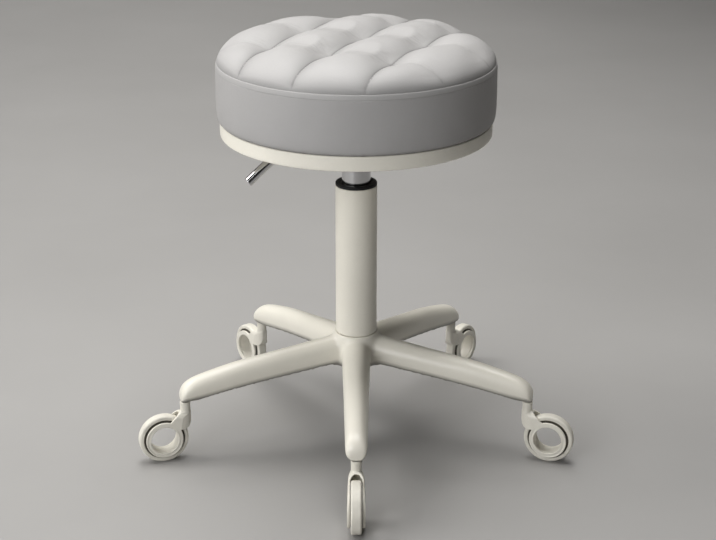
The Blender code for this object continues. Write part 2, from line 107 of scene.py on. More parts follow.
def turned(name, profile, sides=128, along="Z"):
    """A closed outline of (radius, height) points turned about Z, or about Y."""
    area = sum(a[0] * b[1] - b[0] * a[1] for a, b in zip(profile, profile[1:] + profile[:1]))
    if area < 0:
        profile = profile[::-1]
    n = len(profile)
    index, verts = [], []
    for k in range(sides):
        c, s = cos(2 * pi * k / sides), sin(2 * pi * k / sides)
        row = []
        for i, (r, z) in enumerate(profile):
            if r < 1e-9 and k:
                row.append(index[0][i])
                continue
            row.append(len(verts))
            verts.append((r * c, r * s, z))
        index.append(row)
    faces = []
    for k in range(sides):
        a, b = index[k], index[(k + 1) % sides]
        for i in range(n):
            j = (i + 1) % n
            corner = [a[i], b[i], b[j], a[j]]
            face = [v for m, v in enumerate(corner) if v not in corner[:m]]
            if len(face) > 2:
                faces.append(face)
    verts = np.array(verts)
    if along == "Y":
        verts = verts[:, [0, 2, 1]] * np.array([1, -1, 1])
    return mesh_of(name, verts, faces)


def skinned(name, rows, closed_ends=True):
    """A skin over a row of equal-length closed sections, the ends closed by fans."""
    rows = [np.asarray(r, float) for r in rows]
    n = len(rows[0])
    verts = np.concatenate(rows)
    faces = []
    for a in range(len(rows) - 1):
        for i in range(n):
            j = (i + 1) % n
            faces.append((a * n + i, a * n + j, (a + 1) * n + j, (a + 1) * n + i))
    if closed_ends:
        extra = np.array([rows[0].mean(0), rows[-1].mean(0)])
        first, last = len(verts), len(verts) + 1
        verts = np.concatenate([verts, extra])
        off = (len(rows) - 1) * n
        for i in range(n):
            j = (i + 1) % n
            faces.append((first, j, i))
            faces.append((last, off + i, off + j))
    return mesh_of(name, verts, faces)


def prism(name, outline, low, high, axis="Z"):
    """An outline extruded. Axis Z: outline is (x, y); axis Y: (x, z); axis X: (y, z)."""
    area = sum(a[0] * b[1] - b[0] * a[1] for a, b in zip(outline, outline[1:] + outline[:1]))
    if (area < 0) != (axis == "Y"):
        outline = outline[::-1]
    put = {"Z": lambda a, b, h: (a, b, h), "Y": lambda a, b, h: (a, h, b), "X": lambda a, b, h: (h, a, b)}[axis]
    n = len(outline)
    verts = [put(a, b, low) for a, b in outline] + [put(a, b, high) for a, b in outline]
    faces = [(i, (i + 1) % n, n + (i + 1) % n, n + i) for i in range(n)]
    faces += [list(range(n))[::-1], list(range(n, 2 * n))]
    return mesh_of(name, verts, faces)


def shifted(mesh, offset=(0, 0, 0), turn=0.0):
    mesh.transform(Matrix.Translation(Vector(offset) * MM) @ Matrix.Rotation(turn, 4, "Z"))
    return mesh


def evaluated(mesh, add):
    """The mesh as it is after the modifiers that add(object) puts on it."""
    ob = bpy.data.objects.new("work", mesh)
    bpy.context.scene.collection.objects.link(ob)
    add(ob)
    bpy.context.view_layer.update()
    made = bpy.data.meshes.new_from_object(ob.evaluated_get(bpy.context.evaluated_depsgraph_get()))
    bpy.data.objects.remove(ob, do_unlink=True)
    return made


def carved(blank, steps):
    """The blank after each (operation, mesh) step."""
    tools = []
    for how, mesh in steps:
        ob = bpy.data.objects.new("tool", mesh)
        bpy.context.scene.collection.objects.link(ob)
        tools.append((how, ob))

    def add(ob):
        for how, tool in tools:
            mod = ob.modifiers.new("cut", "BOOLEAN")
            mod.operation, mod.solver, mod.object = how, "MANIFOLD", tool

    made = evaluated(blank, add)
    for _, ob in tools:
        bpy.data.objects.remove(ob, do_unlink=True)
    return made


def remeshed(mesh, voxel):
    def add(ob):
        mod = ob.modifiers.new("even", "REMESH")
        mod.mode, mod.voxel_size, mod.adaptivity = "VOXEL", voxel * MM, 0.0
    made = evaluated(mesh, add)
    made.shade_smooth()
    return made


def relaxed(mesh, rounds, weight=None, pull=0.5, push=-0.52):
    """Smooths a dense mesh in place without shrinking it: each round pulls every point to its neighbours' mean and pushes it back."""
    co = points_of(mesh)
    ends = np.zeros(len(mesh.edges) * 2, int)
    mesh.edges.foreach_get("vertices", ends)
    a, b = ends.reshape(-1, 2).T
    count = np.bincount(np.concatenate([a, b]), minlength=len(co)).astype(float)
    w = np.ones(len(co)) if weight is None else weight
    for _ in range(rounds):
        for step in (pull, push):
            total = np.stack([
                np.bincount(a, co[b, d], len(co)) + np.bincount(b, co[a, d], len(co)) for d in range(3)
            ], 1)
            co = co + (total / count[:, None] - co) * (step * w)[:, None]
    set_points(mesh, co)
    return mesh


def smooth_line(keys, values, at):
    """Values between keys, along a curve that doesn't overshoot."""
    keys, values, at = np.asarray(keys, float), np.asarray(values, float), np.asarray(at, float)
    h, d = np.diff(keys), np.diff(values) / np.diff(keys)
    m = np.zeros_like(values)
    for i in range(1, len(keys) - 1):
        if d[i - 1] * d[i] > 0:
            w1, w2 = 2 * h[i] + h[i - 1], h[i] + 2 * h[i - 1]
            m[i] = (w1 + w2) / (w1 / d[i - 1] + w2 / d[i])
    m[0], m[-1] = d[0], d[-1]
    i = np.clip(np.searchsorted(keys, at) - 1, 0, len(h) - 1)
    t = (at - keys[i]) / h[i]
    return ((1 + 2 * t) * (1 - t) ** 2 * values[i] + t * (1 - t) ** 2 * h[i] * m[i]
            + t * t * (3 - 2 * t) * values[i + 1] + t * t * (t - 1) * h[i] * m[i + 1])


def wobble(points, scale, seed=0.0):
    """Smooth noise from -1 to 1 at points in millimetres; scale is the size of its bumps."""
    return np.array([noise.noise(Vector((p[0] / scale + seed, p[1] / scale - seed, p[2] / scale + 0.37 * seed))) for p in points])


def piece(name, mesh, mat, body, nodes=(), slot=None, at=AXIS, turn=0.0, even_normals=False):
    """An object that rides on a body and stands for CAD nodes."""
    ob = bpy.data.objects.new(name, mesh)
    bpy.context.scene.collection.objects.link(ob)
    if mesh.materials:
        mesh.materials[0] = mat
    else:
        mesh.materials.append(mat)
    ob.matrix_world = Matrix.Translation(Vector(at) * MM) @ Matrix.Rotation(turn, 4, "Z")
    if even_normals:
        mod = ob.modifiers.new("even_normals", "WEIGHTED_NORMAL")
        mod.weight, mod.keep_sharp = 50, True
    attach(ob, body)
    if nodes:
        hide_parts(*nodes)
    return ob


def give(mesh, name, values):
    """Stores one number per point on the mesh."""
    found = mesh.attributes.new(name, "FLOAT", "POINT")
    found.data.foreach_set("value", np.asarray(values, np.float32))


# ---------------------------------------------------------------- materials

class Look:
    """A node material, built one node at a time."""

    def __init__(self, name, colour, roughness, metallic=0.0, specular=0.5):
        self.mat = bpy.data.materials.new(name)
        self.mat.use_nodes = True
        self.mat.diffuse_color = (*colour, 1)
        self.tree = self.mat.node_tree
        self.tree.nodes.clear()
        self.out = self.tree.nodes.new("ShaderNodeOutputMaterial")
        self.bsdf = self.tree.nodes.new("ShaderNodeBsdfPrincipled")
        self.tree.links.new(self.bsdf.outputs[0], self.out.inputs[0])
        self.bsdf.inputs["Base Color"].default_value = (*colour, 1)
        self.bsdf.inputs["Roughness"].default_value = roughness
        self.bsdf.inputs["Metallic"].default_value = metallic
        self.bsdf.inputs["Specular IOR Level"].default_value = specular
        self.place = self.tree.nodes.new("ShaderNodeTexCoord").outputs["Object"]

    def put(self, kind, settings=None, **inputs):
        node = self.tree.nodes.new("ShaderNode" + kind)
        for key, value in (settings or {}).items():
            setattr(node, key, value)
        for key, value in inputs.items():
            socket = node.inputs[int(key[1:])] if key[0] == "i" and key[1:].isdigit() else node.inputs[key.replace("_", " ")]
            if isinstance(value, bpy.types.NodeSocket):
                self.tree.links.new(value, socket)
            else:
                socket.default_value = value
        return node

    def noise(self, size, detail=3.0, rough=0.5, vector=None):
        """Noise with bumps of about that size in millimetres."""
        return self.put("TexNoise", Vector=vector or self.place, Scale=1000.0 / size, Detail=detail, Roughness=rough).outputs["Fac"]

    def cells(self, size, feature="DISTANCE_TO_EDGE", vector=None):
        node = self.put("TexVoronoi", {"feature": feature}, Vector=vector or self.place, Scale=1000.0 / size)
        return node.outputs["Distance"]

    def span(self, value, a, b, c, d):
        return self.put("MapRange", Value=value, From_Min=a, From_Max=b, To_Min=c, To_Max=d).outputs["Result"]

    def math(self, how, a, b=0.0):
        return self.put("Math", {"operation": how}, i0=a, i1=b).outputs[0]

    def mix(self, factor, a, b):
        node = self.put("Mix", {"data_type": "RGBA"}, i0=factor)
        for socket, value in ((node.inputs[6], a), (node.inputs[7], b)):
            if isinstance(value, bpy.types.NodeSocket):
                self.tree.links.new(value, socket)
            else:
                socket.default_value = (*value, 1)
        return node.outputs[2]

    def attribute(self, name):
        return self.put("Attribute", {"attribute_name": name}).outputs["Fac"]

    def bump(self, height, depth, strength=1.0, under=None):
        inputs = dict(Height=height, Distance=depth * MM, Strength=strength)
        if under is not None:
            inputs["Normal"] = under
        return self.put("Bump", None, **inputs).outputs["Normal"]

    def join(self, **links):
        for key, socket in links.items():
            self.tree.links.new(socket, self.bsdf.inputs[key.replace("_", " ")])
        return self.mat


def scaled(colour, k):
    return tuple(min(1.0, c * k) for c in colour)


def painted(name, colour, roughness, peel=1.6, peel_depth=0.03, specular=0.5, under=1.0):
    """Satin cream: faint cloudiness and orange peel. Faces that look down can be given painted shade: darker, and also
    duller.
    """
    look = Look(name, colour, roughness, specular=specular)
    cloud = look.span(look.noise(70, 4), 0.3, 0.7, 0.0, 1.0)
    fleck = look.span(look.noise(2.2, 2), 0.35, 0.75, 0.0, 1.0)
    tone = look.mix(cloud, scaled(colour, 0.965), scaled(colour, 1.02))
    tone = look.mix(look.math("MULTIPLY", fleck, 0.25), tone, scaled(colour, 0.93))
    rub = look.span(look.noise(24, 5, 0.6), 0.35, 0.7, roughness - 0.015, roughness + 0.02)
    # painted shade: faces that look down are darkened towards scaled(colour, under) and made a little rougher
    if under < 1:
        facing = look.put("SeparateXYZ", i0=look.put("NewGeometry").outputs["Normal"]).outputs["Z"]
        underside_shade = look.span(facing, -0.14, -0.5, 0.0, 1.0)
        tone = look.mix(underside_shade, tone, scaled(colour, under))
        rub = look.math("ADD", rub, look.math("MULTIPLY", underside_shade, 0.2))
    peel_height = look.math("ADD", look.noise(peel, 2), look.math("MULTIPLY", look.noise(peel * 5, 2), 0.7))
    return look.join(Base_Color=tone, Roughness=rub, Normal=look.bump(peel_height, peel_depth, 0.7))


def leather():
    colour = (0.445, 0.437, 0.432)
    look = Look("grey_leatherette", colour, 0.55, specular=0.36)
    drift = look.put("TexNoise", Vector=look.place, Scale=300.0, Detail=1.0).outputs["Color"]
    moved = look.put("Vector" + "Math", {"operation": "MULTIPLY_ADD"}, i0=drift, i1=(0.0009, 0.0009, 0.0009), i2=look.place).outputs[0]
    pebble = look.span(look.cells(1.25, vector=moved), 0.0, 0.3, 0.0, 1.0)
    pores = look.noise(0.45, 2)
    height = look.math("ADD", look.math("MULTIPLY", pebble, 0.75), look.math("MULTIPLY", pores, 0.35))
    cloud = look.span(look.noise(85, 4, 0.55), 0.3, 0.7, 0.0, 1.0)
    tone = look.mix(cloud, scaled(colour, 0.965), scaled(colour, 1.03))
    tone = look.mix(look.span(pebble, 0.0, 0.6, 0.16, 0.0), tone, scaled(colour, 0.72))
    # painted shade in seams, creases and gaps, read from a per-point attribute; the leather is also a little rougher
    # there
    crease_shade = look.attribute("crease_shade")
    tone = look.mix(look.math("MULTIPLY", crease_shade, 0.8), tone, scaled(colour, 0.36))
    rub = look.math("ADD", look.span(look.noise(30, 4), 0.3, 0.7, 0.51, 0.57), look.math("MULTIPLY", crease_shade, 0.12))
    folds = look.bump(look.noise(14, 3, 0.5), 0.35, 0.35)
    return look.join(Base_Color=tone, Roughness=rub, Normal=look.bump(height, 0.07, 0.6, folds))


def thread():
    colour = (0.46, 0.45, 0.44)
    look = Look("grey_thread", colour, 0.62, specular=0.3)
    twist = look.put("TexWave", {"wave_type": "BANDS", "bands_direction": "DIAGONAL"}, Vector=look.place, Scale=420.0, Distortion=1.5).outputs["Fac"]
    tone = look.mix(twist, scaled(colour, 0.75), scaled(colour, 1.1))
    return look.join(Base_Color=tone, Normal=look.bump(twist, 0.08, 0.6))


def chrome():
    colour = (0.60, 0.60, 0.605)
    look = Look("chrome", colour, 0.16, 1.0)
    smear = look.span(look.noise(16, 5, 0.6), 0.35, 0.75, 0.12, 0.2)
    haze = look.mix(look.span(look.noise(40, 4), 0.3, 0.7, 0.0, 1.0), scaled(colour, 0.94), colour)
    lines = look.put("TexNoise", Vector=look.put("Mapping", Vector=look.place, Scale=(60.0, 60.0, 2600.0)).outputs[0], Scale=1.0, Detail=2.0).outputs["Fac"]
    return look.join(Base_Color=haze, Roughness=smear, Normal=look.bump(lines, 0.004, 0.35))


def metal(name, colour, roughness, grain=0.8):
    look = Look(name, colour, roughness, 1.0)
    streak = look.put("TexNoise", Vector=look.put("Mapping", Vector=look.place, Scale=(900.0, 900.0, 60.0)).outputs[0], Scale=1.0, Detail=3.0).outputs["Fac"]
    tone = look.mix(look.span(look.noise(9, 4), 0.3, 0.7, 0.0, 1.0), scaled(colour, 0.82), scaled(colour, 1.05))
    rub = look.span(streak, 0.3, 0.7, roughness - 0.07, roughness + 0.1)
    return look.join(Base_Color=tone, Roughness=rub, Normal=look.bump(streak, 0.01 * grain, 0.5))


def moulded(name, colour, roughness, grain=0.7, depth=0.03, specular=0.5):
    """Moulded plastic or rubber with a fine spark-eroded grain."""
    look = Look(name, colour, roughness, specular=specular)
    fine = look.noise(grain, 3)
    tone = look.mix(look.span(look.noise(18, 4), 0.3, 0.7, 0.0, 1.0), scaled(colour, 0.9), scaled(colour, 1.1))
    rub = look.span(look.noise(12, 4), 0.3, 0.7, roughness - 0.06, roughness + 0.06)
    return look.join(Base_Color=tone, Roughness=rub, Normal=look.bump(fine, depth, 0.7))


def plywood():
    look = Look("plywood", (0.5, 0.36, 0.22), 0.65, specular=0.3)
    stretched = look.put("Mapping", Vector=look.place, Scale=(12.0, 160.0, 160.0)).outputs[0]
    grain = look.put("TexNoise", Vector=stretched, Scale=3.0, Detail=5.0).outputs["Fac"]
    ply = look.put("TexWave", {"bands_direction": "Z"}, Vector=look.place, Scale=130.0, Distortion=0.6).outputs["Fac"]
    tone = look.mix(grain, (0.36, 0.24, 0.13), (0.62, 0.46, 0.28))
    tone = look.mix(look.math("MULTIPLY", ply, 0.35), tone, (0.28, 0.18, 0.1))
    return look.join(Base_Color=tone, Normal=look.bump(grain, 0.1, 0.5))


CREAM = (0.84, 0.81, 0.72)
MATS = {
    # the star base gets painted shade on its downward faces (under=0.34)
    "cream_nylon": painted("cream_nylon", CREAM, 0.31, 1.4, 0.025, under=0.34),
    "cream_paint": painted("cream_paint", scaled(CREAM, 1.01), 0.33, 1.9, 0.035, 0.35),
    "cream_plastic": painted("cream_plastic", scaled(CREAM, 0.94), 0.38, 1.1, 0.02),
    "pan_plastic": painted("pan_plastic", scaled(CREAM, 1.09), 0.4, 1.1, 0.02),
    "tyre_pu": moulded("tyre_polyurethane", scaled(CREAM, 0.9), 0.5, 0.9, 0.02, 0.4),
    "dark_plastic": moulded("dark_plastic", (0.115, 0.104, 0.083), 0.55, specular=0.3),
    "black_nylon": moulded("black_nylon", (0.008, 0.008, 0.009), 0.5, 0.6, 0.03, 0.25),
    "natural_nylon": moulded("natural_nylon", (0.58, 0.56, 0.50), 0.5),
    "steel": metal("bright_steel", (0.56, 0.56, 0.57), 0.3),
    "black_steel": moulded("black_steel", (0.018, 0.018, 0.019), 0.46, 1.3, 0.06),
    "brass": metal("brass", (0.72, 0.53, 0.24), 0.3),
    "chrome": chrome(),
    "rubber": moulded("black_rubber", (0.02, 0.02, 0.02), 0.75, 0.5, 0.05, 0.3),
    "plywood": plywood(),
    "leather": leather(),
    "thread": thread(),
}


# ---------------------------------------------------------------- cushion

RIM_R, RIM_Z = 161.2, 477.4  # where the top cover meets the piping
VALLEY = 20.2                # rise of the seams' crossings in the middle above the rim
PUFF = 14.8                  # rise of a puff above them
LIFT = 3.4                   # rise of a deep seam half way between two crossings
SEAM_DEG = 63.1              # direction of the deep seams; the shallow ones are square to it
ACROSS, ALONG = 76.5, 87.7   # distance between the deep seams, and between the shallow ones
DEEP = (3.9 - ACROSS, 3.9, 3.9 + ACROSS)
SHALLOW = (14.1 - ALONG, 14.1, 14.1 + ALONG)
CU, SU = cos(radians(SEAM_DEG)), sin(radians(SEAM_DEG))


def to_seams(x, y):
    """Distances along the deep seams and square to them."""
    return x * CU + y * SU, x * SU - y * CU


def from_seams(u, v):
    return u * CU + v * SU, u * SU - v * CU


def seam_gap(t, lines):
    """Distance from the nearest seam of one family."""
    return np.min([np.abs(t - line) for line in lines], 0)


def steep(d):
    """From 0 on a deep seam to 1 on the crest of a puff, rising at once."""
    t = np.clip(d / ACROSS, 0.0, 0.5)
    return (1 - (1 - 2 * t) ** 2.3) ** 0.7


def gentle(d):
    """From 0 on a shallow seam to 1 on the crest of a puff, in one soft wave."""
    t = np.clip(d / ALONG, 0.0, 0.5)
    return (0.5 - 0.5 * np.cos(2 * pi * t)) ** 0.75


def shoulder(r):
    return np.sqrt(np.clip(1 - (r / RIM_R) ** 6, 0.0, 1.0))


def puff_gain(u, v):
    """Each puff is a little fuller or flatter than the next."""
    iu, iv = np.floor((u - SHALLOW[0]) / ALONG), np.floor((v - DEEP[0]) / ACROSS)
    return 1 + 0.07 * np.sin(iu * 2.4 + 0.7) * np.cos(iv * 1.9 + iu * 0.8 + 0.4)


def crossings():
    return [(u, v) for u in SHALLOW for v in DEEP]


def top_height(x, y, fullness=1.0):
    u, v = to_seams(x, y)
    a, b = steep(seam_gap(v, DEEP)), gentle(seam_gap(u, SHALLOW))
    r = np.hypot(x, y)
    rise = LIFT * b * (1 - a) + PUFF * fullness * puff_gain(u, v) * a * (SOFT + (1 - SOFT) * b)
    z = RIM_Z + shoulder(r) * (VALLEY + rise)
    for cu, cv in crossings():
        q = np.hypot(u - cu, v - cv)
        z = z - 1.3 * np.exp(-(q / 8.0) ** 2) * shoulder(np.full_like(r, hypot(cu, cv)))
    return z


SOFT = 0.54                  # how much of a puff's rise is left on a shallow seam


def seam_grid(first, pitch, cells, ease):
    """Places along one direction, on every seam and closer together beside it."""
    s = np.arange(-2 * cells, 4 * cells + 1) / cells
    return first + pitch * (s - ease * np.sin(2 * pi * s) / (2 * pi))


def cover_points(ring_from=0.62, ring_points=520):
    """Points of the top cover's pattern: a grid along the seams, then rings towards the rim. Also which of them lie on the rim."""
    first = RIM_R * (1 - ring_from ** 2) ** (1 / 6)
    gu, gv = np.meshgrid(seam_grid(SHALLOW[0], ALONG, 42, 0.35), seam_grid(DEEP[0], ACROSS, 38, 0.7), indexing="ij")
    x, y = from_seams(gu.ravel(), gv.ravel())
    keep = np.hypot(x, y) < first - 1.1
    pts = [np.stack([x[keep], y[keep]], 1)]
    s = ring_from
    radii = []
    while s > 0.02:
        radii.append(RIM_R * (1 - s * s) ** (1 / 6))
        s -= 0.043
    radii.append(RIM_R)
    for r in radii:
        cross = []
        for line in DEEP + SHALLOW:
            half = np.sqrt(r * r - line * line)
            for u, v in (((half, line), (-half, line)) if line in DEEP else ((line, half), (line, -half))):
                cx, cy = from_seams(u, v)
                cross.append(atan2(cy, cx) % (2 * pi))
        cross = np.array(cross)
        even = 2 * pi * np.arange(ring_points) / ring_points
        away = np.abs((even[:, None] - cross[None] + pi) % (2 * pi) - pi).min(1)
        angles = np.sort(np.concatenate([even[away > 0.62 * 2 * pi / ring_points], cross]))
        pts.append(np.stack([r * np.cos(angles), r * np.sin(angles)], 1))
    rim = np.zeros(sum(map(len, pts)), bool)
    rim[-len(pts[-1]):] = True
    return np.concatenate(pts), rim


def triangulated(pts):
    found = geometry.delaunay_2d_cdt([Vector(p) for p in pts], [], [], 0, 1e-4)
    order = [o[0] for o in found[3]]
    return [[order[i] for i in f] for f in found[2]]


def gathers(x, y, z):
    """Small gathers across the seams and creases that run out of their crossings, as heights."""
    u, v = to_seams(x, y)
    du, dv = seam_gap(u, SHALLOW), seam_gap(v, DEEP)
    flat = np.stack([u, v, np.zeros_like(u)], 1)
    along_deep = wobble(flat * np.array([1.0, 0.16, 0]), 5.6, 7.7)
    along_shallow = wobble(flat * np.array([0.16, 1.0, 0]), 5.6, 3.1)
    lift = 0.17 * along_deep * np.exp(-dv / 6.5) * (1 - np.exp(-dv / 1.8))
    lift += 0.09 * along_shallow * np.exp(-du / 6.5) * (1 - np.exp(-du / 1.8)) * np.exp(-dv / 16.0)
    for i, (cu, cv) in enumerate(crossings()):
        q, t = np.hypot(u - cu, v - cv), np.arctan2(v - cv, u - cu)
        rays = np.cos(8 * t + pi) + 0.6 * np.cos(13 * t + 1.7 * i)
        lift += 0.09 * rays * np.exp(-q / 12.0) * (1 - np.exp(-(q / 4.0) ** 2))
    lift += 0.22 * wobble(np.stack([x, y, z], 1), 26.0, 1.3)
    return lift * np.clip((RIM_R - np.hypot(x, y)) / 6.0, 0.0, 1.0)


def inflated(pts, faces, z, hold, free, swell, frames=14):
    """Lets the cover swell as cloth: the seams and the rim are held and the filling presses it up by about that much, where it is free. Returns the new points."""
    start = np.stack([pts[:, 0], pts[:, 1], z], 1)
    mesh = mesh_of("cover_cloth", start, faces)
    ob = bpy.data.objects.new("cover_cloth", mesh)
    bpy.context.scene.collection.objects.link(ob)
    group = ob.vertex_groups.new(name="held")
    for i in np.nonzero(hold > 0)[0]:
        group.add([int(i)], float(hold[i]), "REPLACE")
    mod = ob.modifiers.new("cloth", "CLOTH")
    s = mod.settings
    s.quality, s.mass, s.air_damping = 5, CLOTH_MASS, 1.0
    s.tension_stiffness = s.compression_stiffness = 15.0
    s.shear_stiffness, s.bending_stiffness = 8.0, 6.0
    s.vertex_group_mass = "held"
    s.use_pressure, s.uniform_pressure_force = True, CLOTH_PRESSURE
    s.effector_weights.gravity = 0.0
    mod.collision_settings.use_collision = False
    mod.point_cache.frame_start, mod.point_cache.frame_end = 1, frames
    scene = bpy.context.scene
    for f in range(1, frames + 1):
        scene.frame_set(f)
    done = bpy.data.meshes.new_from_object(ob.evaluated_get(bpy.context.evaluated_depsgraph_get()))
    move = points_of(done) / MM - start
    # the filling evens out the finest wrinkles
    ends = np.zeros(len(done.edges) * 2, int)
    done.edges.foreach_get("vertices", ends)
    a, b = ends.reshape(-1, 2).T
    count = np.bincount(ends, minlength=len(start)).astype(float)
    for _ in range(24):
        total = np.stack([np.bincount(a, move[b, d], len(start)) + np.bincount(b, move[a, d], len(start)) for d in range(3)], 1)
        move = np.where((hold < 1)[:, None], 0.5 * move + 0.5 * total / count[:, None], move)
    move = move * free[:, None]
    bpy.data.objects.remove(ob, do_unlink=True)
    scene.frame_set(1)
    far = np.linalg.norm(move, axis=1)
    most = np.percentile(far, 90)
    return start + move * (swell / most * np.minimum(1, 1.25 * most / np.maximum(far, 1e-6)))[:, None]


CLOTH_MASS, CLOTH_PRESSURE = 0.02, 40.0


def make_cover():
    pts, rim = cover_points()
    faces = triangulated(pts)
    x, y = pts.T
    a, b, c = (pts[[f[k] for f in faces]] for k in range(3))
    up = np.cross(b - a, c - a) > 0
    faces = [f if ok else f[::-1] for f, ok in zip(faces, up)]
    u, v = to_seams(x, y)
    du, dv = seam_gap(u, SHALLOW), seam_gap(v, DEEP)
    hold = np.where(rim | (dv < 0.05), 1.0, np.where(du < 0.05, 0.3, 0.0))
    hold = np.maximum(hold, np.clip((np.hypot(x, y) - 146.5) / 6.0, 0, 1))
    verts = inflated(pts, faces, top_height(x, y, 0.74), hold, 1 - np.exp(-dv / 6.0), 3.4)
    verts[:, 2] += gathers(x, y, verts[:, 2])
    # skirt under the piping and a closed underside
    ring = np.nonzero(rim)[0]
    ring = ring[np.argsort(np.arctan2(y[ring], x[ring]))]
    n, start = len(ring), len(verts)
    extra = []
    for r, z in ((RIM_R - 0.3, 475.2), (RIM_R - 1.2, 473.6), (RIM_R - 4.0, 472.9)):
        t = np.arctan2(y[ring], x[ring])
        extra.append(np.stack([r * np.cos(t), r * np.sin(t), np.full(n, z)], 1))
    extra.append(np.array([[0, 0, 472.9]]))
    verts = np.concatenate([verts] + extra)
    rows = [list(ring)] + [list(range(start + k * n, start + (k + 1) * n)) for k in range(3)]
    for top, low in zip(rows, rows[1:]):
        for i in range(n):
            j = (i + 1) % n
            faces.append((top[i], low[i], low[j], top[j]))
    for i in range(n):
        faces.append((rows[3][i], len(verts) - 1, rows[3][(i + 1) % n]))
    mesh = mesh_of("quilted_top", verts, faces)
    full = np.zeros(len(verts))
    # painted shade along the deep and shallow seams, at the shallow seams' ends by the rim and round the crossings
    seam_shade = np.maximum(np.maximum(np.exp(-dv / 2.2), 0.6 * np.exp(-dv / 7.0)), 0.12 * np.exp(-du / 3.5) + 0.4 * np.exp(-du / 2.4) * np.exp(-dv / 15.0))
    seam_shade = np.maximum(seam_shade, 0.5 * np.exp(-du / 1.8) * np.clip((np.hypot(x, y) - 146) / 12.0, 0, 1))
    for cu, cv in crossings():
        seam_shade = np.maximum(seam_shade, np.exp(-(np.hypot(u - cu, (v - cv) * 1.4) / 5.5) ** 2))
    full[:start] = seam_shade * np.clip((RIM_R - np.hypot(x, y)) / 4.0 + 0.25, 0, 1)
    # painted shade where the cover meets the piping
    near = np.clip((np.hypot(x, y) - (RIM_R - 2.5)) / 2.5, 0, 1)
    full[:start] = np.maximum(full[:start], 0.38 * near)
    give(mesh, "crease_shade", full)
    top = piece("quilted_top", mesh, MATS["leather"], "seat", ["top_cover", "seat_foam"], "leather")
    return top


def capsule(length, radius, sides=7):
    """A stitch lying along X: points and faces."""
    prof = [(-length / 2, 0.001), (-length / 2 + radius * 0.35, radius * 0.75), (-length / 2 + radius * 1.2, radius),
            (length / 2 - radius * 1.2, radius), (length / 2 - radius * 0.35, radius * 0.75), (length / 2, 0.001)]
    verts, faces = [], []
    for px, pr in prof:
        for k in range(sides):
            t = 2 * pi * k / sides
            dip = -0.22 * (2 * px / length) ** 4
            verts.append((px, pr * cos(t), pr * sin(t) + dip))
    for i in range(len(prof) - 1):
        for k in range(sides):
            j = (k + 1) % sides
            faces.append((i * sides + k, (i + 1) * sides + k, (i + 1) * sides + j, i * sides + j))
    faces.append(list(range(sides)))
    faces.append([(len(prof) - 1) * sides + k for k in range(sides)][::-1])
    return np.array(verts), faces


def stitches(name, places):
    """One mesh of stitches, each at a point, along a direction, with its own up direction."""
    verts, faces = [], []
    shape, skin = capsule(3.1, 0.34)
    for p, along, up in places:
        a = np.array(along, float) / np.linalg.norm(along)
        side = np.cross(up, a)
        side /= np.linalg.norm(side)
        lift = np.cross(a, side)
        off = sum(map(len, verts))
        verts.append(np.array(p) + shape[:, :1] * a + shape[:, 1:2] * side + shape[:, 2:3] * lift)
        faces += [[i + off for i in f] for f in skin]
    return mesh_of(name, np.concatenate(verts), faces)


def make_quilt_stitches():
    """Thread in the deep seams."""
    places = []
    ax, ay = from_seams(1, 0)
    for line in DEEP:
        reach = np.sqrt(151.0 ** 2 - line ** 2)
        count = int(reach / 4.4)
        for k in range(-count - 1, count + 1):
            t = (k + 0.5) * 4.4
            if abs(t) > reach:
                continue
            x, y = from_seams(t, line)
            z0, z1, z2 = (float(top_height(np.array([x + s * ax]), np.array([y + s * ay]))[0]) for s in (-1.5, 0, 1.5))
            places.append(((x, y, z1 + 0.12), (3 * ax, 3 * ay, z2 - z0), (0, 0, 1)))
    return piece("quilt_stitches", stitches("quilt_stitches", places), MATS["thread"], "seat", (), "leather")


BAND_KEYS = ((410.3, 158.3), (411.6, 160.2), (414.0, 161.6), (420.0, 162.5), (430.0, 163.0), (444.0, 163.05), (458.0, 162.9), (466.0, 162.8), (471.4, 162.65), (472.6, 162.3), (473.2, 161.0), (473.4, 159.6))


def band_radius(z):
    keys = np.array(BAND_KEYS)
    return smooth_line(keys[:, 0], keys[:, 1], z)


def band_point(z, t):
    """A point of the band's outside: height and angle. The vertical join is at the back."""
    r = band_radius(z)
    arc = 162.0 * t
    pos = np.stack([arc, np.zeros_like(z) + 5.0, z], 1)
    gather_low = wobble(pos * np.array([1, 0, 0.08]), 6.5, 2.2)
    gather_top = wobble(pos * np.array([1, 0, 0.08]), 5.0, 5.9)
    r = r + 0.42 * gather_low * np.exp(-np.clip(z - 410.3, 0, None) / 7.0)
    r = r + 0.22 * gather_top * np.exp(-np.clip(472.0 - z, 0, None) / 6.0)
    r = r + 0.22 * wobble(np.stack([162 * np.cos(t), 162 * np.sin(t), z], 1), 42.0, 0.6)
    seam = np.abs((t - pi / 2 + pi) % (2 * pi) - pi) * 162.0
    r = r - 1.1 * np.exp(-(seam / 1.1) ** 2) + 0.35 * np.exp(-((seam - 3.4) / 2.2) ** 2)
    return r


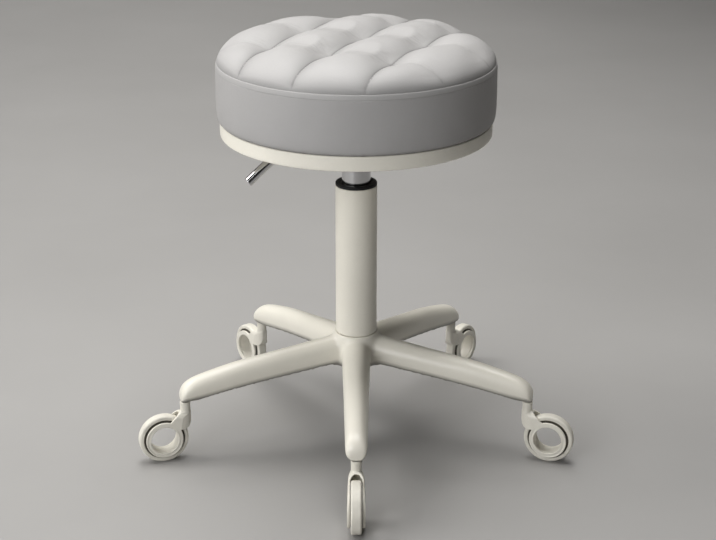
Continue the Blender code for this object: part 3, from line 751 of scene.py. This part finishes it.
def make_band():
    sides = 720
    t = 2 * pi * np.arange(sides) / sides
    heights = np.concatenate([np.linspace(410.3, 416, 8), np.linspace(418, 464, 17), np.linspace(466, 473.4, 14)])
    rows, crease_shade = [], []
    for z in heights:
        r = band_point(np.full(sides, z), t)
        rows.append(np.stack([r * np.cos(t), r * np.sin(t), np.full(sides, z)], 1))
        # painted shade down the back seam, along the band's lower edge over the pan, and faintly under the lip
        seam = np.abs((t - pi / 2 + pi) % (2 * pi) - pi) * 162.0
        edge = max(np.exp(-(z - 410.3) / 2.2), np.exp(-abs(472.0 - z) / 0.5) * 0.12)
        crease_shade.append(np.maximum(np.exp(-(seam / 1.0) ** 2), edge))
    for z, r in ((473.6, 158.2), (472.0, 158.6), (458.0, 160.0), (430.0, 160.4), (415.0, 159.0), (411.9, 157.0), (410.3, 156.6)):
        rows.append(np.stack([r * np.cos(t), r * np.sin(t), np.full(sides, z)], 1))
        crease_shade.append(np.zeros(sides))
    m = len(rows)
    faces = []
    for k in range(m):
        a, b = k * sides, (k + 1) % m * sides
        for i in range(sides):
            j = (i + 1) % sides
            faces.append((a + i, a + j, b + j, b + i))
    mesh = mesh_of("side_band_cover", np.concatenate(rows), faces)
    give(mesh, "crease_shade", np.concatenate(crease_shade))
    band = piece("side_band_cover", mesh, MATS["leather"], "seat", ["side_band"], "leather")
    places = []
    for side in (-3.6, 3.6):
        for k in range(13):
            z = 415.5 + k * 4.2
            tt = pi / 2 + side / 162.0
            r = float(band_point(np.array([z]), np.array([tt]))[0]) + 0.1
            places.append(((r * cos(tt), r * sin(tt), z), (0, 0, 1), (cos(tt), sin(tt), 0)))
    piece("band_stitches", stitches("band_stitches", places), MATS["thread"], "seat", (), "leather")
    return band


def make_piping():
    """A flat lip round the top edge, about as far out as the band below it."""
    sides, around = 640, 26
    t = 2 * pi * np.arange(sides) / sides
    rows, crease_shade = [], []
    for k in range(around):
        a = 2 * pi * k / around
        ring = np.stack([161.0 * np.cos(t), 161.0 * np.sin(t), np.full(sides, 475.3)], 1)
        fat = 1 + 0.022 * wobble(ring + k * 0.9, 8.0, 4.4) + 0.035 * wobble(ring, 30.0, 9.1)
        out = 1.75 * abs(cos(a)) ** (2 / 4.2) * (1 if cos(a) > 0 else -1)
        rise = 3.5 * abs(sin(a)) ** (2 / 4.2) * (1 if sin(a) > 0 else -1)
        r = 160.6 + fat * out - 0.17 * rise
        rows.append(np.stack([r * np.cos(t), r * np.sin(t), 475.3 + fat * rise], 1))
        # painted shade along the underside of the lip
        crease_shade.append(np.full(sides, 0.15 * np.clip((-rise - 2.6) / 0.9, 0, 1)))
    faces = []
    for k in range(around):
        a, b = k * sides, (k + 1) % around * sides
        for i in range(sides):
            j = (i + 1) % sides
            faces.append((a + i, a + j, b + j, b + i))
    mesh = mesh_of("piping_cord", np.concatenate(rows), faces)
    give(mesh, "crease_shade", np.concatenate(crease_shade))
    cord = piece("piping_cord", mesh, MATS["leather"], "seat", ["piping"], "leather")
    return cord


# ---------------------------------------------------------------- seat pan, column

def bolt_places():
    turn = radians(LEVER_DEG)
    return [Vector((x * cos(turn) - y * sin(turn), x * sin(turn) + y * cos(turn), 0)) for x in (-50.0, 50.0) for y in (-50.0, 50.0)]


def make_turned_pieces():
    pan = rounded([
        (0, 392.5, 0), (95.2, 392.5, 0.5), (96.4, 393.7, 0.4), (99.0, 393.7, 0.4), (100.2, 392.5, 0.5),
        (159.0, 392.5, 2.2), (159.25, 401.0, 0), (159.0, 409.8, 1.6), (155.5, 409.8, 0.8), (155.5, 396.0, 1.0), (0, 396.0, 0),
    ], 6)
    drill = [("DIFFERENCE", shifted(turned("drill", [(0, 380), (3.4, 380), (3.4, 400), (0, 400)], 32), at)) for at in bolt_places()]
    piece("seat_pan_shell", carved(turned("seat_pan_shell", pan, 240), drill), MATS["pan_plastic"], "seat", ["seat_pan"], "cream_plastic", even_normals=True)
    tube = rounded([
        (5.6, 100, 0), (22.1, 100, 0), (22.6, 100.6, 0), (22.6, 139.8, 0), (24.4, 139.8, 0.6), (25.0, 140.7, 0.6),
        (25.0, 327.0, 0.7), (22.9, 327.0, 0.4), (22.9, 147, 0), (20.8, 143, 0), (20.8, 104, 0), (5.6, 104, 0),
    ], 5)
    piece("column_tube_painted", turned("column_tube_painted", tube, 160), MATS["cream_paint"], "base", ["column_tube"], "cream_paint", even_normals=True)
    bush = rounded([
        (17.5, 255, 0.3), (22.6, 255, 0.3), (22.6, 327.3, 0), (24.8, 327.3, 0.4), (24.8, 331.0, 1.2),
        (19.4, 331.0, 0.5), (18.7, 330.3, 0.4), (17.5, 330.3, 0.3),
    ], 5)
    piece("guide_bush_black", turned("guide_bush_black", bush, 128), MATS["black_nylon"], "base", ["guide_bush"], "black_nylon", even_normals=True)
    cylinder = rounded([
        (5.4, 128, 0), (17.2, 128, 1.2), (17.2, 352, 0), (16.8, 374.0, 0), (16.3, 374.5, 0), (4.4, 374.5, 0.3),
        (4.4, 366, 0), (15.4, 366, 0), (15.4, 133, 0), (5.4, 133, 0),
    ], 5)
    piece("gas_cylinder_chrome", turned("gas_cylinder_chrome", cylinder, 128), MATS["chrome"], "seat", ["gas_cylinder"], "chrome", even_normals=True)


def make_lever():
    keys = np.array([
        (-34.0, 0.0, 3.6, 2.2), (-31.5, 0.0, 5.0, 2.75), (4.0, 0.0, 5.5, 2.75), (12.0, -1.2, 5.5, 3.3), (20.0, -2.5, 5.2, 4.4),
        (28.0, -3.8, 5.2, 5.2), (58.0, -8.8, 5.5, 5.5), (68.0, -11.2, 5.5, 5.5), (76.0, -15.2, 5.5, 5.5), (82.0, -19.6, 5.5, 5.5),
        (104.6, -38.4, 5.5, 5.5),
    ])
    s = np.concatenate([[0], np.cumsum(np.hypot(np.diff(keys[:, 0]), np.diff(keys[:, 1])))])
    at = np.linspace(0, s[-1], 110)
    cols = [smooth_line(s, keys[:, c], at) for c in range(4)]
    line = np.stack([cols[0], cols[1]], 1)
    half, rise = cols[2].copy(), cols[3].copy()
    end = (line[-1] - line[-2]) / np.linalg.norm(line[-1] - line[-2])
    # the end is cut square, with a rounded edge
    caps = [(1.1 * sin(a), 4.4 + 1.1 * cos(a)) for a in np.linspace(0.2, pi / 2, 7)] + [(1.1, 4.0), (1.1, 1.8)]
    line = np.concatenate([line, [line[-1] + end * c[0] for c in caps]])
    half = np.concatenate([half, [c[1] for c in caps]])
    rise = np.concatenate([rise, [c[1] for c in caps]])
    rows = []
    for i in range(len(line)):
        a, b = line[max(i - 1, 0)], line[min(i + 1, len(line) - 1)]
        d = end if i >= 109 else (b - a) / np.linalg.norm(b - a)
        t = 2 * pi * np.arange(48) / 48
        rows.append(np.stack([line[i, 0] - d[1] * rise[i] * np.sin(t), half[i] * np.cos(t), line[i, 1] + d[0] * rise[i] * np.sin(t)], 1))
    pivot = turned("pivot_hole", [(0, -12), (2.3, -12), (2.3, 12), (0, 12)], 32, "Y")
    mesh = carved(skinned("lift_lever", rows[::-1]), [("DIFFERENCE", pivot)])
    turn = radians(LEVER_DEG)
    at = AXIS + Vector((PIVOT_X * cos(turn), PIVOT_X * sin(turn), PIVOT_Z))
    return piece("lift_lever", mesh, MATS["chrome"], "lever", ["lever"], "chrome", at, turn, True)


# ---------------------------------------------------------------- star base

LEG_KEYS = np.array([
    (6.0, 18.6, 98.6, 138.2), (12.0, 18.4, 98.4, 137.8), (45.0, 17.2, 96.1, 132.4), (95.0, 15.6, 90.7, 125.0), (150.0, 14.2, 83.2, 117.2),
    (185.0, 13.3, 77.6, 109.6), (200.0, 12.9, 75.6, 105.6), (208.0, 12.8, 75.1, 102.6), (213.5, 12.5, 75.0, 99.4), (217.5, 12.0, 75.0, 96.0),
    (220.0, 11.0, 75.0, 92.4), (221.7, 9.6, 75.1, 88.8), (222.5, 7.9, 75.3, 85.6), (222.8, 5.6, 75.7, 82.6),
])


LEG_UNDER = 2.45


def leg_at(r):
    return [float(smooth_line(LEG_KEYS[:, 0], LEG_KEYS[:, c], np.array([r]))[0]) for c in (1, 2, 3)]


def leg_row(r, around=56):
    half, low, high = leg_at(r)
    t = 2 * pi * (np.arange(around) + 0.5) / around
    power = np.where(np.sin(t) > 0, 2 / 2.15, 2 / LEG_UNDER)
    y = half * np.abs(np.cos(t)) ** power * np.sign(np.cos(t))
    z = (low + high) / 2 + (high - low) / 2 * np.abs(np.sin(t)) ** power * np.sign(np.sin(t))
    return np.stack([np.full(around, r), y, z], 1)


def make_star_base():
    stations = np.concatenate([np.linspace(6, 200, 66), np.linspace(202.5, 216, 8), np.linspace(217, 221.4, 7), np.linspace(221.7, 222.8, 6)])
    rows = [leg_row(r) for r in stations]
    hub = turned("hub", rounded([
        (0, 98, 0), (26.3, 98, 0.8), (31, 103.0, 2.5), (31, 130.5, 6.0), (28.4, 138.0, 2.5), (26.8, 139.5, 1.0), (0, 139.5, 0)], 5), 96)
    steps = []
    for k in range(LEGS):
        steps.append(("UNION", shifted(skinned("leg", rows), turn=leg_turn(k))))
    for k in range(LEGS):
        for r1, r2 in ((50.0, 92.0), (97.0, 140.0), (145.0, 190.0)):
            sections = []
            for r in (r1, r2):
                half, low, high = leg_at(r)
                w, top = half - 4.6, high - 6.6
                sections.append([(r, -w, 60.0), (r, w, 60.0), (r, w, top), (r, -w, top)])
            steps.append(("DIFFERENCE", shifted(skinned("pocket", sections), turn=leg_turn(k))))
        trough = []
        for r in (33.0, 50.0, 70.0, 95.0, 120.0, 150.0, 175.0, 190.0, 208.0):
            half, low, high = leg_at(r)
            w = half - 4.6
            rim = (low + high) / 2 - (high - low) / 2 * (1 - (w / half) ** LEG_UNDER) ** (1 / LEG_UNDER)
            top = low - 0.6 if r > 200 else rim + (4.5 if r < 180 else 0.8)
            trough.append([(r, -w, 60.0), (r, w, 60.0), (r, w, top), (r, -w, top)])
        steps.append(("DIFFERENCE", shifted(skinned("trough", trough), turn=leg_turn(k))))
    steps.append(("DIFFERENCE", turned("bore", [(0, 90), (22.9, 90), (22.9, 150), (0, 150)], 96)))
    mesh = remeshed(carved(hub, steps), 1.6)
    co = points_of(mesh) / MM
    r = np.hypot(co[:, 0], co[:, 1])
    relaxed(mesh, 5)
    # the lower rims of the legs are evened out
    under = np.interp(r, LEG_KEYS[:, 0], 0.62 * LEG_KEYS[:, 2] + 0.38 * LEG_KEYS[:, 3])
    relaxed(mesh, 18, np.clip((under - co[:, 2]) / 3.0, 0, 1) * np.clip((206.0 - r) / 6.0, 0, 1), 0.55, -0.565)
    # a wide fillet where the legs grow out of the hub
    blend = np.clip((r - 27.5) / 3.0, 0, 1) * np.clip((62.0 - r) / 16.0, 0, 1)
    relaxed(mesh, 26, blend, 0.55, -0.35)
    holes = []
    for k in range(LEGS):
        stem = turned("stem_hole", [(0, 66), (4.4, 66), (4.4, 86.4), (0, 86.4)], 48)
        holes.append(("DIFFERENCE", shifted(stem, (STEM_R * cos(leg_turn(k)), STEM_R * sin(leg_turn(k)), 0))))
    made = carved(mesh, holes)
    base = piece("star_base_moulded", made, MATS["cream_nylon"], "base", ["star_base"], "cream_nylon")
    return base


# ---------------------------------------------------------------- casters

def arc(cx, cy, r, start, end, steps):
    return [(cx + r * cos(start + (end - start) * i / steps), cy + r * sin(start + (end - start) * i / steps)) for i in range(steps + 1)]


def fork_mesh():
    """Fork with the stem on Z at the origin and the wheel trailing along +X."""
    outline = [(-6.4, 63.2), (6.3, 63.2), (10.0, 60.3), (15.0, 56.2)]
    outline += arc(TRAIL, WHEEL_R, 22.7, radians(110), radians(149 - 360), 72)
    outline += [(4.4, 40.6), (0.8, 41.0), (-2.6, 42.8), (-5.0, 46.0), (-6.2, 50.6), (-6.4, 57.0)]
    side = prism("side", outline, -12.3, 12.3, "Y")
    front = prism("front", [(10.3, -5), (10.3, 38)] + arc(0, 54.0, 9.2, 0, pi, 40) + [(-10.3, 38), (-10.3, -5)], -40, 90, "X")
    flare = [(-6.6, 2.0), (-5.4, 4.2), (-2.5, 6.4), (2.0, 8.2), (7.0, 9.8), (11.0, 10.4), (70.0, 10.4)]
    plan = prism("plan", flare + [(x, -y) for x, y in reversed(flare)], -10, 90, "Z")
    slot = prism("slot", [(6.8, -9)] + arc(0, 54.2, 6.8, 0, pi, 32) + [(-6.8, -9)], 1.6, 95, "X")
    pocket = prism("pocket", [(4.3, 48.0)] + arc(0, 56.0, 4.3, 0, pi, 24) + [(-4.3, 48.0)], -3.3, 3.0, "X")
    well = shifted(turned("well", [(0, -6.8), (31, -6.8), (31, 6.8), (0, 6.8)], 96, "Y"), (TRAIL, 0, WHEEL_R))
    neck = turned("neck", rounded([(0, 57.6, 0), (6.3, 57.6, 0), (6.1, 64.0, 3.0), (6.1, 69.5, 3.0), (6.3, 73.0, 2.0), (6.3, 74.6, 0.6), (0, 74.6, 0)], 5), 64)
    hole = shifted(turned("hole", [(0, -20), (17, -20), (17, 20), (0, 20)], 96, "Y"), (TRAIL, 0, WHEEL_R))
    bore = turned("bore", [(0, 63.6), (3.3, 63.6), (3.3, 80), (0, 80)], 32)
    steps = [("INTERSECT", front), ("INTERSECT", plan), ("UNION", neck), ("DIFFERENCE", slot), ("DIFFERENCE", pocket), ("DIFFERENCE", well), ("DIFFERENCE", hole), ("DIFFERENCE", bore)]
    for face in (-1, 1):
        # the outer face of each ring is dished between two raised lips
        dish = rounded([(18.6, face * 9.75, 0.3), (21.2, face * 9.75, 0.3), (21.8, face * 11.5, 0), (18.0, face * 11.5, 0)], 3)
        steps.append(("DIFFERENCE", shifted(turned("dish", dish, 96, "Y"), (TRAIL, 0, WHEEL_R))))
    mesh = remeshed(carved(side, steps), 0.55)
    relaxed(mesh, 5)
    # the neck runs into the shoulders of the arch in one sweep
    co = points_of(mesh) / MM
    high = np.clip((co[:, 2] - 60.0) / 2.5, 0, 1) * np.clip((73.0 - co[:, 2]) / 2.0, 0, 1) * np.clip((np.hypot(co[:, 0], co[:, 1]) - 4.4) / 0.6, 0, 1)
    return relaxed(mesh, 10, high, 0.55, -0.52)


def make_casters():
    fork = fork_mesh()
    sleeve = turned("hub_sleeve", rounded([(17.0, -6.5, 0.4), (19.6, -6.5, 0.4), (19.6, 6.5, 0.4), (17.0, 6.5, 0.4)], 3), 128, "Y")
    core = turned("wheel_core", rounded([
        (20.1, -5, 0.5), (21.6, -5, 0.3), (22.0, -4.2, 0.3), (23.4, -4.2, 0.3), (23.8, -5, 0.3), (24.7, -5, 0.3),
        (24.7, 5, 0.3), (23.8, 5, 0.3), (23.4, 4.2, 0.3), (22.0, 4.2, 0.3), (21.6, 5, 0.3), (20.1, 5, 0.5)], 3), 128, "Y")
    tyre = turned("tyre", rounded([(25.0, -6.1, 0.6), (30.0, -6.1, 3.8), (30.0, 6.1, 3.8), (25.0, 6.1, 0.6)], 11), 160, "Y")
    for k in range(LEGS):
        n, turn = k + 1, leg_turn(k)
        stem = AXIS + Vector((STEM_R * cos(turn), STEM_R * sin(turn), 0))
        axle = stem + Vector((TRAIL * cos(turn), TRAIL * sin(turn), WHEEL_R))
        piece(f"fork_{n}", fork, MATS["cream_plastic"], f"caster_{n}", [f"caster_fork_{n}"], "cream_plastic", stem, turn)
        piece(f"sleeve_{n}", sleeve, MATS["cream_plastic"], f"caster_{n}", [f"hub_sleeve_{n}"], "cream_plastic", axle, turn, True)
        piece(f"core_{n}", core, MATS["dark_plastic"], f"wheel_{n}", [f"wheel_core_{n}"], "dark_plastic", axle, turn, True)
        piece(f"tread_{n}", tyre, MATS["tyre_pu"], f"wheel_{n}", [f"tyre_{n}"], "tyre_pu", axle, turn, True)


# ---------------------------------------------------------------- mount and inner pieces

def joined(name, meshes):
    """One mesh of several separate bodies."""
    verts, faces, off = [], [], 0
    for mesh in meshes:
        verts.append(points_of(mesh) / MM)
        faces += [[v + off for v in p.vertices] for p in mesh.polygons]
        off += len(mesh.vertices)
    return mesh_of(name, np.concatenate(verts), faces)


def make_seat_mount():
    """Pressed and welded: plate, socket with its weld bead, two ears for the lever and three pressed ribs."""
    plate = prism("plate", rounded([(65, 65, 12), (-65, 65, 12), (-65, -65, 12), (65, -65, 12)], 8), 389.2, 392.2)
    socket = turned("socket", [(0, 350), (21.2, 350), (22, 350.8), (22, 390.4), (0, 390.4)], 96)
    bead = turned("bead", rounded([(20.0, 390.0, 0), (25.8, 390.0, 0), (25.0, 388.4, 0.8), (23.0, 386.5, 0.8), (20.0, 386.2, 0)], 4), 96)
    steps = [("UNION", socket), ("UNION", bead)]
    for side in (-1, 1):
        ear = [(22.5, 390.2), (33.5, 390.2), (33.5, PIVOT_Z)] + arc(PIVOT_X, PIVOT_Z, 5.5, 0, -pi, 18)[1:]
        low, high = sorted((side * 6.9, side * 9.9))
        steps.append(("UNION", prism("ear", ear, low, high, "Y")))
    for x, y, turn in ((-45.0, 0.0, 0.0), (0.0, 45.0, pi / 2), (0.0, -45.0, pi / 2)):
        rib = rounded([(3.6, 21, 3.5), (-3.6, 21, 3.5), (-3.6, -21, 3.5), (3.6, -21, 3.5)], 6)
        steps.append(("UNION", shifted(prism("rib", rib, 387.9, 390.0), (x, y, 0), turn)))
    steps.append(("DIFFERENCE", turned("socket_bore", [(0, 345), (17.5, 345), (17.5, 389.2), (0, 389.2)], 96)))
    slot = [(2, 375.5), (26, 375.5), (26, 389.2), (2, 389.2)]
    steps.append(("DIFFERENCE", prism("lever_slot", slot, -6.7, 6.7, "Y")))
    steps.append(("DIFFERENCE", shifted(turned("pin_hole", [(0, -14), (2.3, -14), (2.3, 14), (0, 14)], 32, "Y"), (PIVOT_X, 0, PIVOT_Z))))
    for x in (-50.0, 50.0):
        for y in (-50.0, 50.0):
            steps.append(("DIFFERENCE", shifted(turned("bolt_hole", [(0, 380), (3.4, 380), (3.4, 400), (0, 400)], 32), (x, y, 0))))
    mesh = relaxed(remeshed(carved(plate, steps), 0.9), 4)
    return piece("seat_mount_welded", mesh, MATS["black_steel"], "seat", ["seat_mount"], "black_steel", AXIS, radians(LEVER_DEG))


def make_inner_pieces():
    def ring(name, node, corners, mat, body, sides=96, slot=None):
        return piece(name, turned(name, rounded(corners, 4), sides), MATS[mat], body, [node], slot or mat, even_normals=True)

    ring("race_lower", "lower_race", [(5.6, 104.3, 0.2), (13.0, 104.3, 0.2), (13.0, 105.8, 0.2), (11.1, 105.8, 0.1), (9.4, 105.2, 1.5), (7.7, 105.8, 0.1), (5.6, 105.8, 0.2)], "steel", "base")
    ring("race_upper", "upper_race", [(5.6, 111.3, 0.2), (13.0, 111.3, 0.2), (13.0, 109.8, 0.2), (11.1, 109.8, 0.1), (9.4, 110.4, 1.5), (7.7, 109.8, 0.1), (5.6, 109.8, 0.2)], "steel", "spindle")
    cage = turned("cage", rounded([(6.4, 107.3, 0.2), (12.4, 107.3, 0.2), (12.4, 108.3, 0.2), (6.4, 108.3, 0.2)], 3), 96)
    half = [(1.75 * cos(a), 1.75 * sin(a)) for a in np.linspace(-pi / 2, pi / 2, 15)]
    half[0], half[-1] = (0.0, -1.75), (0.0, 1.75)
    balls = [shifted(turned("ball", half, 20), (9.4 * cos(2 * pi * k / 14), 9.4 * sin(2 * pi * k / 14), 107.8)) for k in range(14)]
    piece("ball_cage", joined("ball_cage", [cage] + balls), MATS["brass"], "base", ["ball_ring"], "brass")

    ring("rod_ground", "piston_rod", [
        (0, 94, 0), (5.0, 94, 0.7), (5.0, 97.7, 0.2), (4.1, 97.7, 0), (4.1, 100.0, 0), (5.0, 100.0, 0.2), (5.0, 111.6, 0), (8.0, 111.6, 0.4), (8.0, 114.0, 0.4),
        (5.0, 114.0, 0.3), (5.0, 266.3, 0), (7.5, 266.3, 0.3), (7.5, 269.0, 0.6), (0, 269.0, 0)], "steel", "spindle", 64)
    gap = radians(28)
    outline = arc(0, 0, 8.0, gap, 2 * pi - gap, 48) + arc(0, 0, 4.5, 2 * pi - gap, gap, 40)

    def bevel(ob):
        mod = ob.modifiers.new("edge", "BEVEL")
        mod.width, mod.segments, mod.limit_method, mod.angle_limit = 0.25 * MM, 2, "ANGLE", radians(40)
    piece("clip_spring", evaluated(prism("clip_spring", outline, 98.0, 99.7), bevel), MATS["steel"], "spindle", ["retaining_clip"], "steel", even_normals=True)
    ring("bumper_ring", "bumper", [(5.4, 114.3, 0.5), (12.5, 114.3, 1.2), (12.5, 117.3, 1.2), (5.4, 117.3, 0.5)], "rubber", "spindle")
    ring("piston_seal", "piston", [
        (5.4, 252, 0.3), (15.0, 252, 0.6), (15.0, 255.6, 0.3), (13.6, 255.6, 0.3), (13.6, 257.6, 0.3), (15.0, 257.6, 0.3),
        (15.0, 260.4, 0.3), (13.6, 260.4, 0.3), (13.6, 262.4, 0.3), (15.0, 262.4, 0.3), (15.0, 266, 0.6), (5.4, 266, 0.3)], "dark_plastic", "spindle")
    ring("valve_button", "valve_pin", [(0, 360, 0), (4.1, 360, 0.4), (4.1, 378.2, 0.8), (2.2, 379.75, 1.4), (0, 379.9, 0)], "steel", "valve_pin", 48)

    turn = radians(LEVER_DEG)
    pin = turned("pivot_pin", rounded([(0, -11.5, 0), (2.0, -11.5, 0.5), (2.0, -10.7, 0.1), (1.6, -10.7, 0), (1.6, -10.1, 0), (2.0, -10.1, 0.1), (2.0, 10.6, 0), (2.0, 11.5, 0.5), (0, 11.5, 0)], 3), 40, "Y")
    pivot = AXIS + Vector((PIVOT_X * cos(turn), PIVOT_X * sin(turn), PIVOT_Z))
    piece("pivot_pin", pin, MATS["steel"], "seat", ["lever_pin"], "steel", pivot, turn, True)

    head = turned("bolt", rounded([(0, 385.0, 0), (3.4, 385.0, 0.4), (5.3, 386.6, 1.6), (5.6, 388.1, 0.2), (5.6, 388.9, 0.3), (3.0, 388.9, 0.2), (3.0, 404.2, 0.3), (2.4, 405.0, 0.2), (0, 405.0, 0)], 4), 48)
    six = [(2.3 * cos(pi * k / 3), 2.3 * sin(pi * k / 3)) for k in range(6)]
    bolt = carved(head, [("DIFFERENCE", prism("socket", six, 380, 387.2))])
    insert = turned("insert", rounded([
        (3.4, 397.0, 0.2), (5.0, 397.0, 0.3), (5.0, 400.2, 0.2), (4.5, 400.6, 0.1), (4.5, 401.6, 0.1), (5.0, 402.0, 0.2),
        (5.0, 403.4, 0.2), (4.5, 403.8, 0.1), (4.5, 404.8, 0.1), (5.0, 405.2, 0.2), (5.0, 408.0, 0.3), (3.4, 408.0, 0.2)], 3), 48)
    drill = []
    for n, at in enumerate(bolt_places(), 1):
        piece(f"bolt_{n}", bolt, MATS["steel"], "seat", [f"mount_bolt_{n}"], "steel", AXIS + at, turn, True)
        piece(f"insert_{n}", insert, MATS["brass"], "seat", [f"threaded_insert_{n}"], "brass", AXIS + at, 0.0, True)
        drill.append(("DIFFERENCE", shifted(turned("drill", [(0, 390), (5.3, 390), (5.3, 415), (0, 415)], 32), at)))
    board = turned("board", rounded([(0, 396.3, 0), (154.8, 396.3, 0.8), (154.8, 408.3, 0.8), (0, 408.3, 0)], 3), 160)
    piece("board_plywood", carved(board, drill), MATS["plywood"], "seat", ["seat_board"], "plywood", even_normals=True)

    stem = turned("stem", rounded([(0, 64.0, 0), (3.0, 64.0, 0.4), (3.0, 82.0, 0.2), (2.6, 82.3, 0.1), (2.6, 83.2, 0.1), (3.0, 83.5, 0.2), (3.0, 85.5, 0.8), (0, 85.5, 0)], 3), 40)
    socket = turned("socket", rounded([(3.3, 75.3, 0.2), (4.1, 75.3, 0.2), (4.1, 86.0, 0.2), (3.3, 86.0, 0.2)], 3), 48)
    for k in range(LEGS):
        n, turn = k + 1, leg_turn(k)
        at = AXIS + Vector((STEM_R * cos(turn), STEM_R * sin(turn), 0))
        piece(f"stem_{n}", stem, MATS["steel"], f"caster_{n}", [f"caster_stem_{n}"], "steel", at, turn, True)
        piece(f"socket_{n}", socket, MATS["natural_nylon"], "base", [f"stem_socket_{n}"], "natural_nylon", at, turn, True)


# ---------------------------------------------------------------- floor, light, camera

def make_stage():
    look = Look("pale_floor", (0.365, 0.358, 0.349), 0.55, specular=0.25)
    cloud = look.span(look.noise(420, 5, 0.55), 0.3, 0.7, 0.0, 1.0)
    tone = look.mix(cloud, (0.352, 0.345, 0.336), (0.378, 0.371, 0.362))
    mat = look.join(Base_Color=tone, Normal=look.bump(look.noise(6, 4), 0.05, 0.3))
    size = 30.0
    mesh = bpy.data.meshes.new("floor")
    mesh.from_pydata([(-size, -size, 0), (size, -size, 0), (size, size, 0), (-size, size, 0)], [], [(0, 1, 2, 3)])
    mesh.materials.append(mat)
    floor = bpy.data.objects.new("floor", mesh)
    bpy.context.scene.collection.objects.link(floor)

    world = bpy.data.worlds.new("studio")
    bpy.context.scene.world = world
    world.use_nodes = True
    tree = world.node_tree
    tree.nodes.clear()
    out = tree.nodes.new("ShaderNodeOutputWorld")
    back = tree.nodes.new("ShaderNodeBackground")
    where = tree.nodes.new("ShaderNodeTexCoord")
    split = tree.nodes.new("ShaderNodeSeparateXYZ")
    ramp = tree.nodes.new("ShaderNodeMapRange")
    tree.links.new(where.outputs["Generated"], split.inputs[0])
    tree.links.new(split.outputs["X"], ramp.inputs["Value"])
    ramp.inputs["From Min"].default_value, ramp.inputs["From Max"].default_value = -0.9, 0.9
    ramp.inputs["To Min"].default_value, ramp.inputs["To Max"].default_value = 0.02, 0.01
    back.inputs["Color"].default_value = (1.0, 0.985, 0.96, 1)
    tree.links.new(ramp.outputs["Result"], back.inputs["Strength"])
    tree.links.new(back.outputs[0], out.inputs[0])

    for name, at, size, power, tint, aim, spread in (
        ("key", (-1.75, 0.35, 2.15), 1.1, 25.0, (1.0, 0.985, 0.96), (0, 0, 0.3), 180),
        ("fill", (-1.5, -2.1, 1.2), 1.6, 35.5, (0.985, 0.99, 1.0), (0, 0, 0.3), 180),
        ("top", (0.0, 0.1, 2.7), 1.45, 49.0, (1.0, 0.99, 0.975), (0, 0, 0.3), 180),
        ("back", (-0.3, 1.3, 2.5), 1.4, 17.0, (1.0, 0.99, 0.975), (0, 0, 0.3), 180),
        ("side", (-2.2, -0.4, 0.9), 1.6, 10.0, (1.0, 0.99, 0.975), (0, 0, 0.3), 180),
        ("wash", (-1.0, 3.3, 2.6), 3.2, 19.0, (1.0, 0.99, 0.975), (-1.0, 3.3, 0.0), 80),
    ):
        lamp = bpy.data.lights.new(name, "AREA")
        lamp.shape, lamp.size, lamp.energy, lamp.color, lamp.spread = "SQUARE", size, power, tint, radians(spread)
        ob = bpy.data.objects.new(name, lamp)
        ob.location = at
        ob.rotation_euler = (Vector(aim) - Vector(at)).to_track_quat("-Z", "Y").to_euler()
        bpy.context.scene.collection.objects.link(ob)

    cam = bpy.data.cameras.new("camera")
    cam.lens, cam.sensor_width, cam.sensor_fit = 78.862, 36.0, "HORIZONTAL"
    cam.shift_x, cam.shift_y = 0.0024, 0.0
    cam.clip_start, cam.clip_end = 0.05, 100.0
    ob = bpy.data.objects.new("camera", cam)
    ob.location = (0.0, 0.0245 - 1.77375, 0.9065)
    ob.rotation_euler = (radians(68.782), 0, 0)
    bpy.context.scene.collection.objects.link(ob)
    bpy.context.scene.camera = ob
    bpy.context.scene.view_settings.view_transform = "Standard"
    bpy.context.scene.view_settings.look = "None"


make_stage()
make_cover()
make_quilt_stitches()
make_band()
make_piping()
make_turned_pieces()
make_lever()
make_star_base()
make_casters()
make_seat_mount()
make_inner_pieces()
